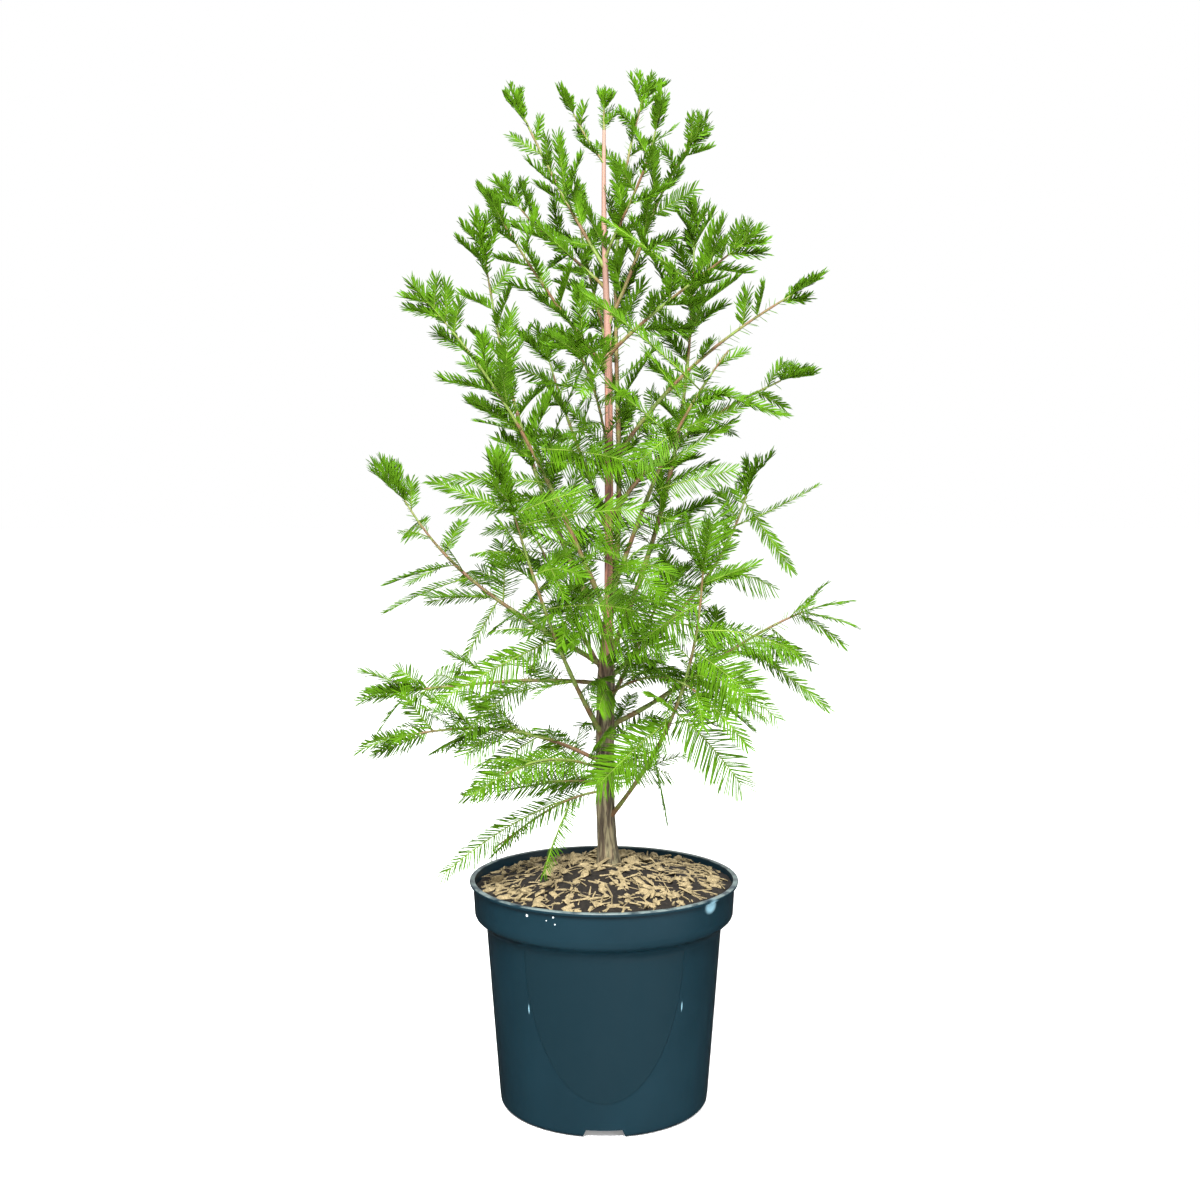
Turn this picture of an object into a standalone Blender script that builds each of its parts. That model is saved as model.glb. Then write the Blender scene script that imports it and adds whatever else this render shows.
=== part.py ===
"""A young bald cypress in a round nursery pot, as separate solids.

Metres, +Z up. The origin is the centre of the pot's flat underside, and the front is -Y.
The pot is filled, the trunk stands on the fill, and each limb of the crown is a bare bough that
ends where a mass of foliage takes over. A mass is one stem with the sprays that grow from it.
"""

import math
import random
from typing import NamedTuple

import bmesh
import bpy
import numpy as np
from mathutils import Vector
from mathutils.bvhtree import BVHTree
from mathutils.geometry import interpolate_bezier

UP = Vector((0.0, 0.0, 1.0))
GAP = 0.0003  # between two pieces that touch
MERGE = 0.00001
CUT_PAST = 0.002  # how far a cutter reaches past the face it opens
SEED = 20

# Pot: a thin moulded shell with a deep collar under its rim
POT_HEIGHT = 0.235
RIM_RADIUS = 0.140
LIP_HEIGHT = 0.0035
LIP_OVERHANG = 0.0035
LIP_ROUND = 0.0010
COLLAR_BOTTOM = 0.200
COLLAR_TAPER = 0.002
NECK_HEIGHT = 0.186
NECK_RADIUS = 0.1225
SHOULDER_CORNER = 0.0015
SHOULDER_FOOT = 0.0025
BASE_RADIUS = 0.109
BASE_CORNER = 0.006
WALL = 0.002
MOUTH_FLARE = 0.0005
POT_STEPS = 36
CORNER_STEPS = 3

# Drainage: four channels under the floor that open in notches at the foot
CHANNELS = 4
CHANNEL_HEIGHT = 0.0085
CHANNEL_WIDTH = 0.046
CHANNEL_TOP_WIDTH = 0.036
CHANNEL_INNER_END = 0.032

# Fill: compost under a mulch of wood chips, heaped round the trunk
SOIL_TOP = 0.2455
SOIL_EDGE = 0.2245
SOIL_SEAT_RADIUS = 0.018
SOIL_RINGS = 3
SOIL_BUMP = 0.0015
SOIL_BORDER = 0.001  # stays smooth beside the trunk and the pot
CHIPS = 12
CHIP_SIZE = (0.024, 0.0055, 0.0045)
CHIP_TILT = (0.3, 0.12)
CHIPS_FROM = 0.034
CHIPS_TO = 0.114

# Trunk stations: height, x, y, radius
TRUNK = (
    (SOIL_TOP + GAP, 0.006, 0.000, 0.0105),
    (0.276, 0.003, 0.000, 0.0100),
    (0.345, 0.001, 0.000, 0.0092),
    (0.438, 0.002, 0.000, 0.0092),
    (0.480, 0.003, -0.001, 0.0066),
    (0.530, 0.005, -0.001, 0.0046),
    (0.690, 0.005, 0.000, 0.0043),
    (0.790, 0.004, 0.000, 0.0037),
    (0.900, 0.000, 0.000, 0.0027),
    (1.000, 0.000, 0.000, 0.0017),
)
TRUNK_TURNS = 2  # rings between two stations
FLARE_HEIGHT = 0.030
FOOT_DEPTH = 0.005  # corners this near the foot are set level with it
FLARE = 0.30  # how much wider the foot is
FLARE_LOBES = 4
LOBE_DEPTH = 0.16

# Limbs
BOUGH_RINGS = 5
STEM_RINGS = 7
STEM_TIP_RADIUS = 0.0009
LIMB_PULL = 0.38  # how far a limb keeps its first and last direction

# Sprays: toothed blades on a three-sided rib
SPRAY_RIB = 0.0012
SPRAY_THICKNESS = 0.0022
SPRAY_WIDTH = 0.0215  # from the rib to a tooth's tip
TIP_SPRAY_WIDTH = 0.0180
TOOTH_SPACING = 0.0240
TOOTH_SWEEP = 0.7  # forward lean of a tooth, in tooth spacings
FEWEST_PAIRS = 2
STALK = 0.12  # share of the length without teeth
TIP_SHARE = 0.7  # the pointed tip, in tooth spacings
RIB_TAPER = 0.55
BLADE_TAPER = 0.45
FIRST_TOOTH = 0.8
TIP_ROOT = 0.008  # how far inside its stem a tip spray starts
TIP_SPRAY_LENGTH = 0.62  # of a spray's length
LATERAL_SPACING = 0.0355
LATERAL_SHIFT = 0.15
LATERAL_ANGLES = (46, 66)
LATERAL_LENGTHS = (0.85, 1.15)
LATERAL_WIDTHS = (0.85, 1.1)
LATERAL_SHORTENING = 0.55  # from a stem's foot to its tip
STEEPEST_ROLL = 75
GOLDEN_ANGLE = 137.5
TURNS_TRIED = 8
LENGTHS_TRIED = (1.0, 0.78, 0.6)
CLEARANCE = 0.0008
HIGHEST_TIP = 1.068
LOWEST_LEAF = 0.254


class Limb(NamedTuple):
    """One limb of the crown, from the trunk's axis to the tip of its stem."""

    name: str
    height: float  # of its base
    azimuth: float  # of its tip from its base, in degrees from +X towards +Y
    reach: float  # level distance to the tip
    rise: float  # height of the tip above the base
    leave: float  # elevation of its first stretch, in degrees
    arrive: float  # elevation of its last stretch
    radius: float  # where it leaves the trunk
    bare: float  # share that is a bough; 0 where the mass meets the trunk
    spray: float  # length of its longest sprays
    droop: float  # how far a spray's tip hangs, as a share of its length


LIMBS = (
    Limb("low_left_droop", 0.326, 197, 0.118, -0.052, -2, -32, 0.0015, 0.0, 0.085, 0.25),
    Limb("low_left_flat", 0.334, 160, 0.118, -0.016, 4, -12, 0.0015, 0.0, 0.085, 0.10),
    Limb("low_right", 0.293, -38, 0.120, 0.266, 48, 87, 0.0027, 0.40, 0.100, 0.30),
    Limb("low_back", 0.318, 84, 0.130, 0.060, 28, 5, 0.0018, 0.0, 0.105, 0.25),
    Limb("left_low", 0.354, 187, 0.205, 0.034, 30, -10, 0.0022, 0.25, 0.100, 0.25),
    Limb("left_low_front", 0.348, 221, 0.130, 0.012, 22, -18, 0.0016, 0.0, 0.105, 0.35),
    Limb("left_front", 0.379, 232, 0.146, 0.245, 50, 66, 0.0027, 0.35, 0.105, 0.35),
    Limb("right_mid", 0.392, 3, 0.206, 0.120, 24, 22, 0.0027, 0.35, 0.105, 0.30),
    Limb("right_arch", 0.424, -42, 0.120, 0.016, 34, -28, 0.0016, 0.0, 0.110, 0.45),
    Limb("back_mid_right", 0.412, 66, 0.180, 0.120, 30, 30, 0.0026, 0.30, 0.110, 0.30),
    Limb("left_mid", 0.438, 178, 0.205, -0.008, 6, -6, 0.0024, 0.30, 0.105, 0.25),
    Limb("right_mid_up", 0.441, 35, 0.188, 0.190, 34, 68, 0.0028, 0.35, 0.100, 0.25),
    Limb("back_mid_left", 0.446, 118, 0.185, 0.150, 32, 34, 0.0026, 0.30, 0.110, 0.30),
    Limb("left_long", 0.455, 166, 0.220, 0.172, 30, 58, 0.0028, 0.40, 0.095, 0.15),
    Limb("right_leader", 0.458, 12, 0.092, 0.429, 66, 89, 0.0032, 0.22, 0.085, 0.10),
    Limb("second_leader", 0.488, 48, 0.054, 0.550, 76, 66, 0.0032, 0.22, 0.072, 0.00),
    Limb("left_leader", 0.486, 152, 0.145, 0.390, 60, 80, 0.0032, 0.28, 0.095, 0.05),
    Limb("left_front_leader", 0.508, 206, 0.176, 0.292, 64, 47, 0.0030, 0.25, 0.085, 0.05),
    Limb("front_mid", 0.520, 277, 0.125, 0.050, 36, 4, 0.0016, 0.0, 0.110, 0.35),
    Limb("right_front_leader", 0.524, -32, 0.137, 0.250, 66, 48, 0.0028, 0.25, 0.100, 0.15),
    Limb("back_upper", 0.590, 112, 0.175, 0.190, 50, 52, 0.0026, 0.25, 0.100, 0.10),
    Limb("right_upper_low", 0.607, 21, 0.196, 0.147, 56, 24, 0.0025, 0.30, 0.066, 0.10),
    Limb("right_upper", 0.660, -18, 0.186, 0.168, 56, 29, 0.0025, 0.30, 0.062, 0.00),
    Limb("front_upper", 0.672, 258, 0.125, 0.090, 50, 22, 0.0015, 0.0, 0.095, 0.10),
    Limb("upper_left", 0.760, 204, 0.113, 0.139, 46, 55, 0.0022, 0.22, 0.070, 0.00),
    Limb("upper_right_low", 0.775, -30, 0.134, 0.091, 40, 32, 0.0021, 0.22, 0.066, 0.00),
    Limb("back_high", 0.780, 104, 0.125, 0.150, 50, 62, 0.0020, 0.22, 0.080, 0.00),
    Limb("upper_right", 0.806, 2, 0.080, 0.175, 62, 56, 0.0022, 0.22, 0.066, -0.05),
    Limb("upper_left_back", 0.842, 138, 0.124, 0.096, 40, 44, 0.0018, 0.22, 0.072, -0.05),
    Limb("top_left", 0.862, 168, 0.084, 0.153, 58, 64, 0.0019, 0.22, 0.060, -0.05),
    Limb("top_right", 0.872, -52, 0.079, 0.113, 56, 69, 0.0016, 0.0, 0.062, -0.05),
    Limb("top_small_left", 0.968, 172, 0.031, 0.049, 50, 62, 0.0012, 0.0, 0.048, -0.05),
    Limb("leader_tip", 1.000, 90, 0.001, 0.020, 90, 90, 0.0017, 0.0, 0.030, 0.00),
)
TOP_LIMB = "leader_tip"  # grows on from the trunk's end

COLOURS = {
    "pot": (0.014, 0.050, 0.075),
    "soil": (0.45, 0.34, 0.18),
    "trunk": (0.16, 0.12, 0.085),
    "bough": (0.30, 0.15, 0.09),
    "foliage": (0.10, 0.32, 0.02),
}


def material(name, colour, roughness):
    """A plain finish of one colour."""
    made = bpy.data.materials.new(name)
    made.use_nodes = True
    shader = made.node_tree.nodes["Principled BSDF"]
    shader.inputs["Base Color"].default_value = (*colour, 1.0)
    shader.inputs["Roughness"].default_value = roughness
    shader.inputs["Metallic"].default_value = 0.0
    return made


def place(name, mesh, collection):
    """An object of this mesh in the collection."""
    made = bpy.data.objects.new(name, mesh)
    collection.objects.link(made)
    return made


def helper(obj):
    """Keeps a cutter out of the model."""
    obj.hide_render = True
    obj.display_type = "WIRE"
    return obj


def settled(obj):
    """The object's mesh as its modifiers leave it."""
    bpy.context.view_layer.update()
    graph = bpy.context.evaluated_depsgraph_get()
    return bpy.data.meshes.new_from_object(obj.evaluated_get(graph))


def apply_modifiers(obj):
    mesh = settled(obj)
    obj.modifiers.clear()
    obj.data = mesh


def boolean(obj, operation, other):
    """Adds a Boolean with an object or a collection."""
    cut = obj.modifiers.new(operation.lower(), "BOOLEAN")
    cut.operation = operation
    cut.solver = "EXACT"
    if isinstance(other, bpy.types.Collection):
        cut.operand_type = "COLLECTION"
        cut.collection = other
    else:
        cut.object = other


def turned(name, profile, steps, collection):
    """A solid turned round Z from (radius, height) points that run down its outer side."""
    mesh = bpy.data.meshes.new(name)
    points = [(radius, 0.0, height) for radius, height in profile]
    mesh.from_pydata(points, [(i, i + 1) for i in range(len(points) - 1)], [])
    obj = place(name, mesh, collection)
    screw = obj.modifiers.new("turn", "SCREW")
    screw.steps = screw.render_steps = steps
    screw.use_merge_vertices = True
    screw.merge_threshold = MERGE
    return obj


def tube(name, points, radii, sides_level, collection):
    """A tapering tube with 4, 6, 8 or 10 sides for sides_level 0, 1, 2 or 3, closed at its ends."""
    curve = bpy.data.curves.new(name, "CURVE")
    curve.dimensions = "3D"
    curve.bevel_depth = 1.0
    curve.bevel_resolution = sides_level
    curve.use_fill_caps = True
    spline = curve.splines.new("POLY")
    spline.points.add(len(points) - 1)
    for knot, point, radius in zip(spline.points, points, radii):
        knot.co = (*point, 1.0)
        knot.radius = radius
    rod = place(name, curve, collection)
    mesh = settled(rod)
    bpy.data.objects.remove(rod)
    shape = bmesh.new()
    shape.from_mesh(mesh)
    bmesh.ops.remove_doubles(shape, verts=shape.verts, dist=MERGE)
    bmesh.ops.recalc_face_normals(shape, faces=shape.faces)
    shape.to_mesh(mesh)
    shape.free()
    return place(name, mesh, collection)


def arc(centre, radius, start, end, steps):
    """Points on an arc in a turned profile, with angles in degrees from +radius towards +height."""
    angles = [math.radians(start + (end - start) * i / steps) for i in range(steps + 1)]
    return [(centre[0] + radius * math.cos(a), centre[1] + radius * math.sin(a)) for a in angles]


def wall_profile(inset):
    """The pot's outer side, top to bottom, moved inwards."""
    collar = RIM_RADIUS - LIP_OVERHANG
    corner = (BASE_RADIUS - BASE_CORNER, BASE_CORNER)
    shoulder = (COLLAR_BOTTOM - NECK_HEIGHT) / 2
    side = [
        (collar, POT_HEIGHT - LIP_HEIGHT),
        (collar - COLLAR_TAPER, COLLAR_BOTTOM),
        (collar - COLLAR_TAPER - SHOULDER_CORNER, COLLAR_BOTTOM - shoulder * 0.5),
        (NECK_RADIUS + SHOULDER_FOOT, NECK_HEIGHT + shoulder * 0.6),
        (NECK_RADIUS, NECK_HEIGHT),
    ]
    side = [(radius - inset, height) for radius, height in side]
    return side + arc(corner, BASE_CORNER - inset, 0, -90, CORNER_STEPS)


def channel_solid(name, grow, inner_end, outer_end, collection):
    """A radial channel at azimuth 0 with sloping sides, from below the floor."""
    bpy.ops.mesh.primitive_cube_add(size=1.0)
    solid = bpy.context.object
    solid.name = name
    slope = (CHANNEL_WIDTH - CHANNEL_TOP_WIDTH) / 2 / CHANNEL_HEIGHT
    for vertex in solid.data.vertices:
        out, side, top = (value > 0 for value in vertex.co)
        height = CHANNEL_HEIGHT + grow if top else -CUT_PAST
        half = CHANNEL_WIDTH / 2 + grow - slope * height
        vertex.co = (
            outer_end if out else inner_end - grow,
            half if side else -half,
            height,
        )
    for owner in solid.users_collection:
        owner.objects.unlink(solid)
    collection.objects.link(solid)
    return helper(solid)


def channels(name, grow, outer_end, helpers):
    """The channels all round, in a collection of their own."""
    group = bpy.data.collections.new(name)
    helpers.children.link(group)
    for i in range(CHANNELS):
        # One channel opens at the front
        solid = channel_solid(f"{name}_{i}", grow, CHANNEL_INNER_END, outer_end, group)
        solid.rotation_euler.z = math.radians(-90 + 360 / CHANNELS * i)
    return group


def pot(model, helpers):
    """The pot: its outer form less the cavity, whose floor stands clear over the channels."""
    lip = [
        (0.0, POT_HEIGHT),
        (RIM_RADIUS - LIP_ROUND, POT_HEIGHT),
        (RIM_RADIUS, POT_HEIGHT - LIP_ROUND),
        (RIM_RADIUS, POT_HEIGHT - LIP_HEIGHT + LIP_ROUND),
    ]
    shell = turned("pot", [*lip, *wall_profile(0.0), (0.0, 0.0)], POT_STEPS, model)
    cavity = cavity_solid("pot_cavity", helpers)
    boolean(cavity, "DIFFERENCE", channels("floor_ridges", WALL, RIM_RADIUS, helpers))
    boolean(shell, "DIFFERENCE", helper(cavity))
    boolean(shell, "DIFFERENCE", channels("foot_notches", 0.0, RIM_RADIUS, helpers))
    apply_modifiers(shell)
    apply_modifiers(cavity)
    shell.data.materials.append(material("pot_plastic", COLOURS["pot"], 0.3))
    return shell


def cavity_solid(name, collection):
    """What lies inside the pot's wall, and a little above it."""
    side = wall_profile(WALL)
    top = POT_HEIGHT + CUT_PAST
    profile = [(0.0, top), (side[0][0] + MOUTH_FLARE, top), *side, (0.0, side[-1][1])]
    return turned(name, profile, POT_STEPS, collection)


def soil_height(radius):
    """The crowned top of the fill, flat where the trunk stands."""
    edge = RIM_RADIUS - LIP_OVERHANG
    share = max(0.0, (radius - SOIL_SEAT_RADIUS) / (edge - SOIL_SEAT_RADIUS))
    return SOIL_TOP - (SOIL_TOP - SOIL_EDGE) * share ** 1.3


def soil(model, helpers, rng):
    """The fill, 0.3 mm clear of the pot, with wood chips fused to its top."""
    inset = WALL + GAP
    side = [point for point in wall_profile(inset) if point[1] < SOIL_EDGE - SOIL_BORDER]
    edge = wall_profile(inset)[0][0] - COLLAR_TAPER * 0.4
    radii = [SOIL_SEAT_RADIUS + (edge - SOIL_SEAT_RADIUS) * i / SOIL_RINGS for i in range(SOIL_RINGS + 1)]
    top = [(0.0, SOIL_TOP)] + [(radius, soil_height(radius)) for radius in radii]
    fill = turned("soil", [*top, *side, (0.0, side[-1][1])], POT_STEPS, model)
    boolean(fill, "DIFFERENCE", channels("fill_grooves", WALL + GAP, RIM_RADIUS, helpers))
    apply_modifiers(fill)
    for vertex in fill.data.vertices:
        radius = math.hypot(vertex.co.x, vertex.co.y)
        on_top = vertex.co.z > SOIL_EDGE - SOIL_BORDER
        if on_top and SOIL_SEAT_RADIUS + SOIL_BORDER < radius < edge - SOIL_BORDER:
            vertex.co.z += rng.uniform(-SOIL_BUMP, SOIL_BUMP)
    group = bpy.data.collections.new("chips")
    helpers.children.link(group)
    for i in range(CHIPS):
        chip(i, rng, group)
    boolean(fill, "UNION", group)
    apply_modifiers(fill)
    for piece in list(group.objects):
        bpy.data.objects.remove(piece)
    fill.data.materials.append(material("mulch", COLOURS["soil"], 0.9))
    return fill


def chip(number, rng, group):
    """A splinter of wood that lies half sunk in the mulch."""
    length, width, thickness = (side * rng.uniform(0.75, 1.25) for side in CHIP_SIZE)
    radius = CHIPS_FROM + (CHIPS_TO - CHIPS_FROM) * math.sqrt((number + 0.5) / CHIPS)
    angle = math.radians(GOLDEN_ANGLE * number)
    lean, pitch = (rng.uniform(-tilt, tilt) for tilt in CHIP_TILT)
    bpy.ops.mesh.primitive_cube_add(
        size=1.0,
        location=(radius * math.cos(angle), radius * math.sin(angle), soil_height(radius)),
        rotation=(lean, pitch, rng.uniform(0, math.pi)),
        scale=(length, width, thickness),
    )
    splinter = bpy.context.object
    for owner in splinter.users_collection:
        owner.objects.unlink(splinter)
    group.objects.link(splinter)


def smooth_stations():
    """(point, radius) rings of the trunk, on a smooth line through its stations."""
    rows = [Vector(row) for row in TRUNK]
    rows = [rows[0]] + rows + [rows[-1]]
    rings = []
    for before, start, end, after in zip(rows, rows[1:], rows[2:], rows[3:]):
        for i in range(TRUNK_TURNS):
            t = i / TRUNK_TURNS
            ring = 0.5 * (
                2 * start
                + (end - before) * t
                + (2 * before - 5 * start + 4 * end - after) * t**2
                + (3 * start - before - 3 * end + after) * t**3
            )
            rings.append(ring)
    rings.append(rows[-1])
    return [(Vector((x, y, z)), radius) for z, x, y, radius in rings]


TRUNK_RINGS = smooth_stations()


def trunk_at(height):
    """The trunk's axis and radius at a height."""
    heights = [point.z for point, radius in TRUNK_RINGS]
    x = np.interp(height, heights, [point.x for point, radius in TRUNK_RINGS])
    y = np.interp(height, heights, [point.y for point, radius in TRUNK_RINGS])
    radius = np.interp(height, heights, [radius for point, radius in TRUNK_RINGS])
    return Vector((x, y, height)), float(radius)


def trunk_solid(name, grow, collection):
    """The trunk, or a copy that is fatter by the given amount, with lobes at its foot."""
    points = [point for point, radius in TRUNK_RINGS]
    radii = [radius + grow for point, radius in TRUNK_RINGS]
    trunk = tube(name, points, radii, 3, collection)
    foot = points[0].z
    for vertex in trunk.data.vertices:
        share = max(0.0, 1 - (vertex.co.z - foot) / FLARE_HEIGHT)
        axis, radius = trunk_at(max(vertex.co.z, foot))
        side = vertex.co - axis
        side.z = 0.0
        lobe = 1 + LOBE_DEPTH * math.cos(FLARE_LOBES * math.atan2(side.y, side.x))
        vertex.co += side * (FLARE * share**2 * lobe)
        if vertex.co.z < foot + FOOT_DEPTH:
            vertex.co.z = foot
    return trunk


def limb_line(limb, steps=24):
    """Points from the trunk's axis to the tip of the limb."""
    base, radius = trunk_at(limb.height)
    azimuth = math.radians(limb.azimuth)
    out = Vector((math.cos(azimuth), math.sin(azimuth), 0.0))
    tip = base + out * limb.reach + UP * limb.rise
    pull = LIMB_PULL * (tip - base).length
    leave, arrive = math.radians(limb.leave), math.radians(limb.arrive)
    first = base + pull * (out * math.cos(leave) + UP * math.sin(leave))
    last = tip - pull * (out * math.cos(arrive) + UP * math.sin(arrive))
    return interpolate_bezier(base, first, last, tip, steps + 1)


def limb_radius(limb, share):
    return STEM_TIP_RADIUS + (limb.radius - STEM_TIP_RADIUS) * (1 - share) ** 0.8


def along(points, share):
    """The point at a share of the way, and the direction there."""
    place_on = share * (len(points) - 1)
    i = min(int(place_on), len(points) - 2)
    step = points[i + 1] - points[i]
    return points[i] + step * (place_on - i), step.normalized()


def stretch(limb, start, end, rings, gap=0.0):
    """Points and radii of a part of the limb, its first end moved in by a gap."""
    line = limb_line(limb)
    shares = [start + (end - start) * i / (rings - 1) for i in range(rings)]
    points = [along(line, share)[0] for share in shares]
    points[0] = points[0] + (points[1] - points[0]).normalized() * gap
    return points, [limb_radius(limb, share) for share in shares]


def across(direction):
    """Two directions square to this one: a level one, and the one nearest to up."""
    side = direction.cross(UP)
    if side.length < 0.05:
        side = Vector((0.0, -1.0, 0.0)).cross(direction)
    side.normalize()
    return side, side.cross(direction).normalized()


class Spray(NamedTuple):
    """A spray before it is fused to its twig."""

    points: list  # along its rib, from inside its twig to its tip
    across: Vector
    width: float

    @property
    def pairs(self):
        """Pairs of teeth; the first stretch of the rib is a bare stalk, the last its pointed tip."""
        return len(self.points) - 3


def spray_shape(root, direction, length, width, droop, roll):
    """A spray that starts inside its twig and bends down by a share of its length."""
    pairs = max(FEWEST_PAIRS, round(length * (1 - STALK) / TOOTH_SPACING - TIP_SHARE))
    shares = [0.0] + [STALK + (1 - STALK) * min(1.0, i / (pairs + TIP_SHARE)) for i in range(pairs + 2)]
    points = [root + direction * (length * t) - UP * (droop * length * t * t) for t in shares]
    side, upright = across(direction)
    return Spray(points, side * math.cos(roll) + upright * math.sin(roll), width)


def spray_faces(spray):
    """Corners and faces of the closed blade: a three-sided rib with a pair of teeth to each row."""
    corners, faces = [], []
    last = len(spray.points) - 2
    for i, point in enumerate(spray.points[:-1]):
        step = spray.points[i + 1] - point
        top = spray.across.cross(step).normalized()
        thin = 1 - RIB_TAPER * i / last
        half, high = spray.across * (SPRAY_RIB * thin), top * (SPRAY_THICKNESS * thin)
        if high.z < 0:
            high = -high
        corners += [point + half, point - half, point + high]
    corners.append(spray.points[-1])
    faces.append((0, 1, 2))
    faces += [(3 * last, 3 * last + 1, len(corners) - 1)]
    faces += [(3 * last + 1, 3 * last + 2, len(corners) - 1)]
    faces += [(3 * last + 2, 3 * last, len(corners) - 1)]
    for i in range(last):
        left, right, top = 3 * i, 3 * i + 1, 3 * i + 2
        faces.append((left, right, right + 3, left + 3))
        for root, turn in ((left, 1), (right, -1)):
            if i == 0:
                faces.append((root, top, top + 3, root + 3))
                continue
            corners.append(tooth_tip(spray, i, turn))
            tip = len(corners) - 1
            faces += [(root, tip, top), (top, tip, top + 3)]
            faces += [(top + 3, tip, root + 3), (root, tip, root + 3)]
    return corners, faces


def tooth_tip(spray, i, turn):
    """The tip of a tooth that stands between rows i and i + 1 and leans forward."""
    step = spray.points[i + 1] - spray.points[i]
    wide = spray.width * (1 - BLADE_TAPER * (i / spray.pairs) ** 2)
    wide *= FIRST_TOOTH if i == 1 else 1.0
    return spray.points[i] + step * (0.5 + TOOTH_SWEEP) + spray.across * (turn * wide)


def spray_object(name, spray, collection):
    corners, faces = spray_faces(spray)
    mesh = bpy.data.meshes.new(name)
    mesh.from_pydata(corners, [], faces)
    shape = bmesh.new()
    shape.from_mesh(mesh)
    bmesh.ops.recalc_face_normals(shape, faces=shape.faces)
    bmesh.ops.triangulate(shape, faces=shape.faces)
    shape.to_mesh(mesh)
    shape.free()
    return place(name, mesh, collection)


class Crown:
    """What already stands in the crown, by owner, so that each mass keeps to its own space."""

    def __init__(self):
        self.taken = []

    def add(self, owner, corners, faces):
        tree = BVHTree.FromPolygons(corners, faces, epsilon=CLEARANCE)
        middle = sum(corners, Vector()) / len(corners)
        radius = max((corner - middle).length for corner in corners)
        self.taken.append((owner, tree, middle, radius))

    def add_object(self, owner, obj):
        mesh = obj.data
        corners = [vertex.co.copy() for vertex in mesh.vertices]
        self.add(owner, corners, [tuple(face.vertices) for face in mesh.polygons])

    def has_room(self, owner, spray):
        """Whether the spray is clear of the limbs, the fill and every other mass."""
        corners, faces = spray_faces(spray)
        heights = [corner.z for corner in corners[3:]]
        if min(heights) < LOWEST_LEAF or max(heights) > HIGHEST_TIP:
            return False
        tree = BVHTree.FromPolygons(corners, faces, epsilon=CLEARANCE)
        middle = sum(corners, Vector()) / len(corners)
        radius = max((corner - middle).length for corner in corners)
        for other, placed, centre, size in self.taken:
            near = (centre - middle).length < size + radius + CLEARANCE
            if other != owner and near and tree.overlap(placed):
                return False
        return True


class Mass:
    """One mass of foliage as it grows."""

    def __init__(self, number, limb, stem):
        self.number, self.limb, self.stem = number, limb, stem
        self.line = stretch(limb, limb.bare, 1.0, STEM_RINGS, GAP)[0]
        self.rng = random.Random(SEED * 1000 + number)
        self.sprays = []
        self.length = sum((b - a).length for a, b in zip(self.line, self.line[1:]))
        self.laterals = max(2, round(self.length / LATERAL_SPACING))
        self.turn = self.rng.uniform(0, 360)

    def keep(self, crown, spray):
        self.sprays.append(spray)
        crown.add(self.number, *spray_faces(spray))

    def tip_spray(self, crown):
        """A short spray that carries on from the stem's tip."""
        root, ahead = along(self.line, 1 - TIP_ROOT / self.length)
        roll = math.radians(self.rng.uniform(-STEEPEST_ROLL, STEEPEST_ROLL))
        length = self.limb.spray * TIP_SPRAY_LENGTH
        for share in LENGTHS_TRIED:
            spray = spray_shape(root, ahead, length * share, TIP_SPRAY_WIDTH, self.limb.droop / 2, roll)
            if crown.has_room(self.number, spray):
                self.keep(crown, spray)
                return

    def lateral(self, crown, i):
        """A spray beside the stem, turned further round it until it fits."""
        rng = self.rng
        share = (i + 0.5 + rng.uniform(-LATERAL_SHIFT, LATERAL_SHIFT)) / (self.laterals + 0.2)
        root, ahead = along(self.line, share)
        side, upright = across(ahead)
        open_angle = math.radians(rng.uniform(*LATERAL_ANGLES))
        length = self.limb.spray * (1.15 - LATERAL_SHORTENING * share)
        length *= rng.uniform(*LATERAL_LENGTHS)
        width = SPRAY_WIDTH * rng.uniform(*LATERAL_WIDTHS)
        roll = math.radians(rng.uniform(-STEEPEST_ROLL, STEEPEST_ROLL))
        for shorter in LENGTHS_TRIED:
            for attempt in range(TURNS_TRIED):
                angle = math.radians(self.turn + GOLDEN_ANGLE * (i + attempt))
                sideways = side * math.cos(angle) + upright * math.sin(angle)
                direction = ahead * math.cos(open_angle) + sideways * math.sin(open_angle)
                spray = spray_shape(root, direction, length * shorter, width, self.limb.droop, roll)
                if crown.has_room(self.number, spray):
                    self.keep(crown, spray)
                    return

    def fuse(self, helpers):
        """Joins the sprays to the stem."""
        group = bpy.data.collections.new("sprays")
        helpers.children.link(group)
        for i, spray in enumerate(self.sprays):
            spray_object(f"spray_{i}", spray, group)
        boolean(self.stem, "UNION", group)
        apply_modifiers(self.stem)
        for piece in list(group.objects):
            bpy.data.objects.remove(piece)
        bpy.data.collections.remove(group)


def bough(limb, trunk_cutter, model):
    """The bare part of a limb, cut clear of the trunk."""
    points, radii = stretch(limb, 0.0, limb.bare, BOUGH_RINGS)
    rod = tube(f"bough_{limb.name}", points, radii, 1, model)
    boolean(rod, "DIFFERENCE", trunk_cutter)
    apply_modifiers(rod)
    return rod


def stem(limb, trunk_cutter, model):
    """The stem of a mass, which starts clear of its bough's tip or of the trunk."""
    points, radii = stretch(limb, limb.bare, 1.0, STEM_RINGS, GAP)
    rod = tube(f"foliage_{limb.name}", points, radii, 0, model)
    if limb.bare == 0 and limb.name != TOP_LIMB:
        boolean(rod, "DIFFERENCE", trunk_cutter)
        apply_modifiers(rod)
    return rod


def clear_scene():
    for obj in list(bpy.data.objects):
        bpy.data.objects.remove(obj)


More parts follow.
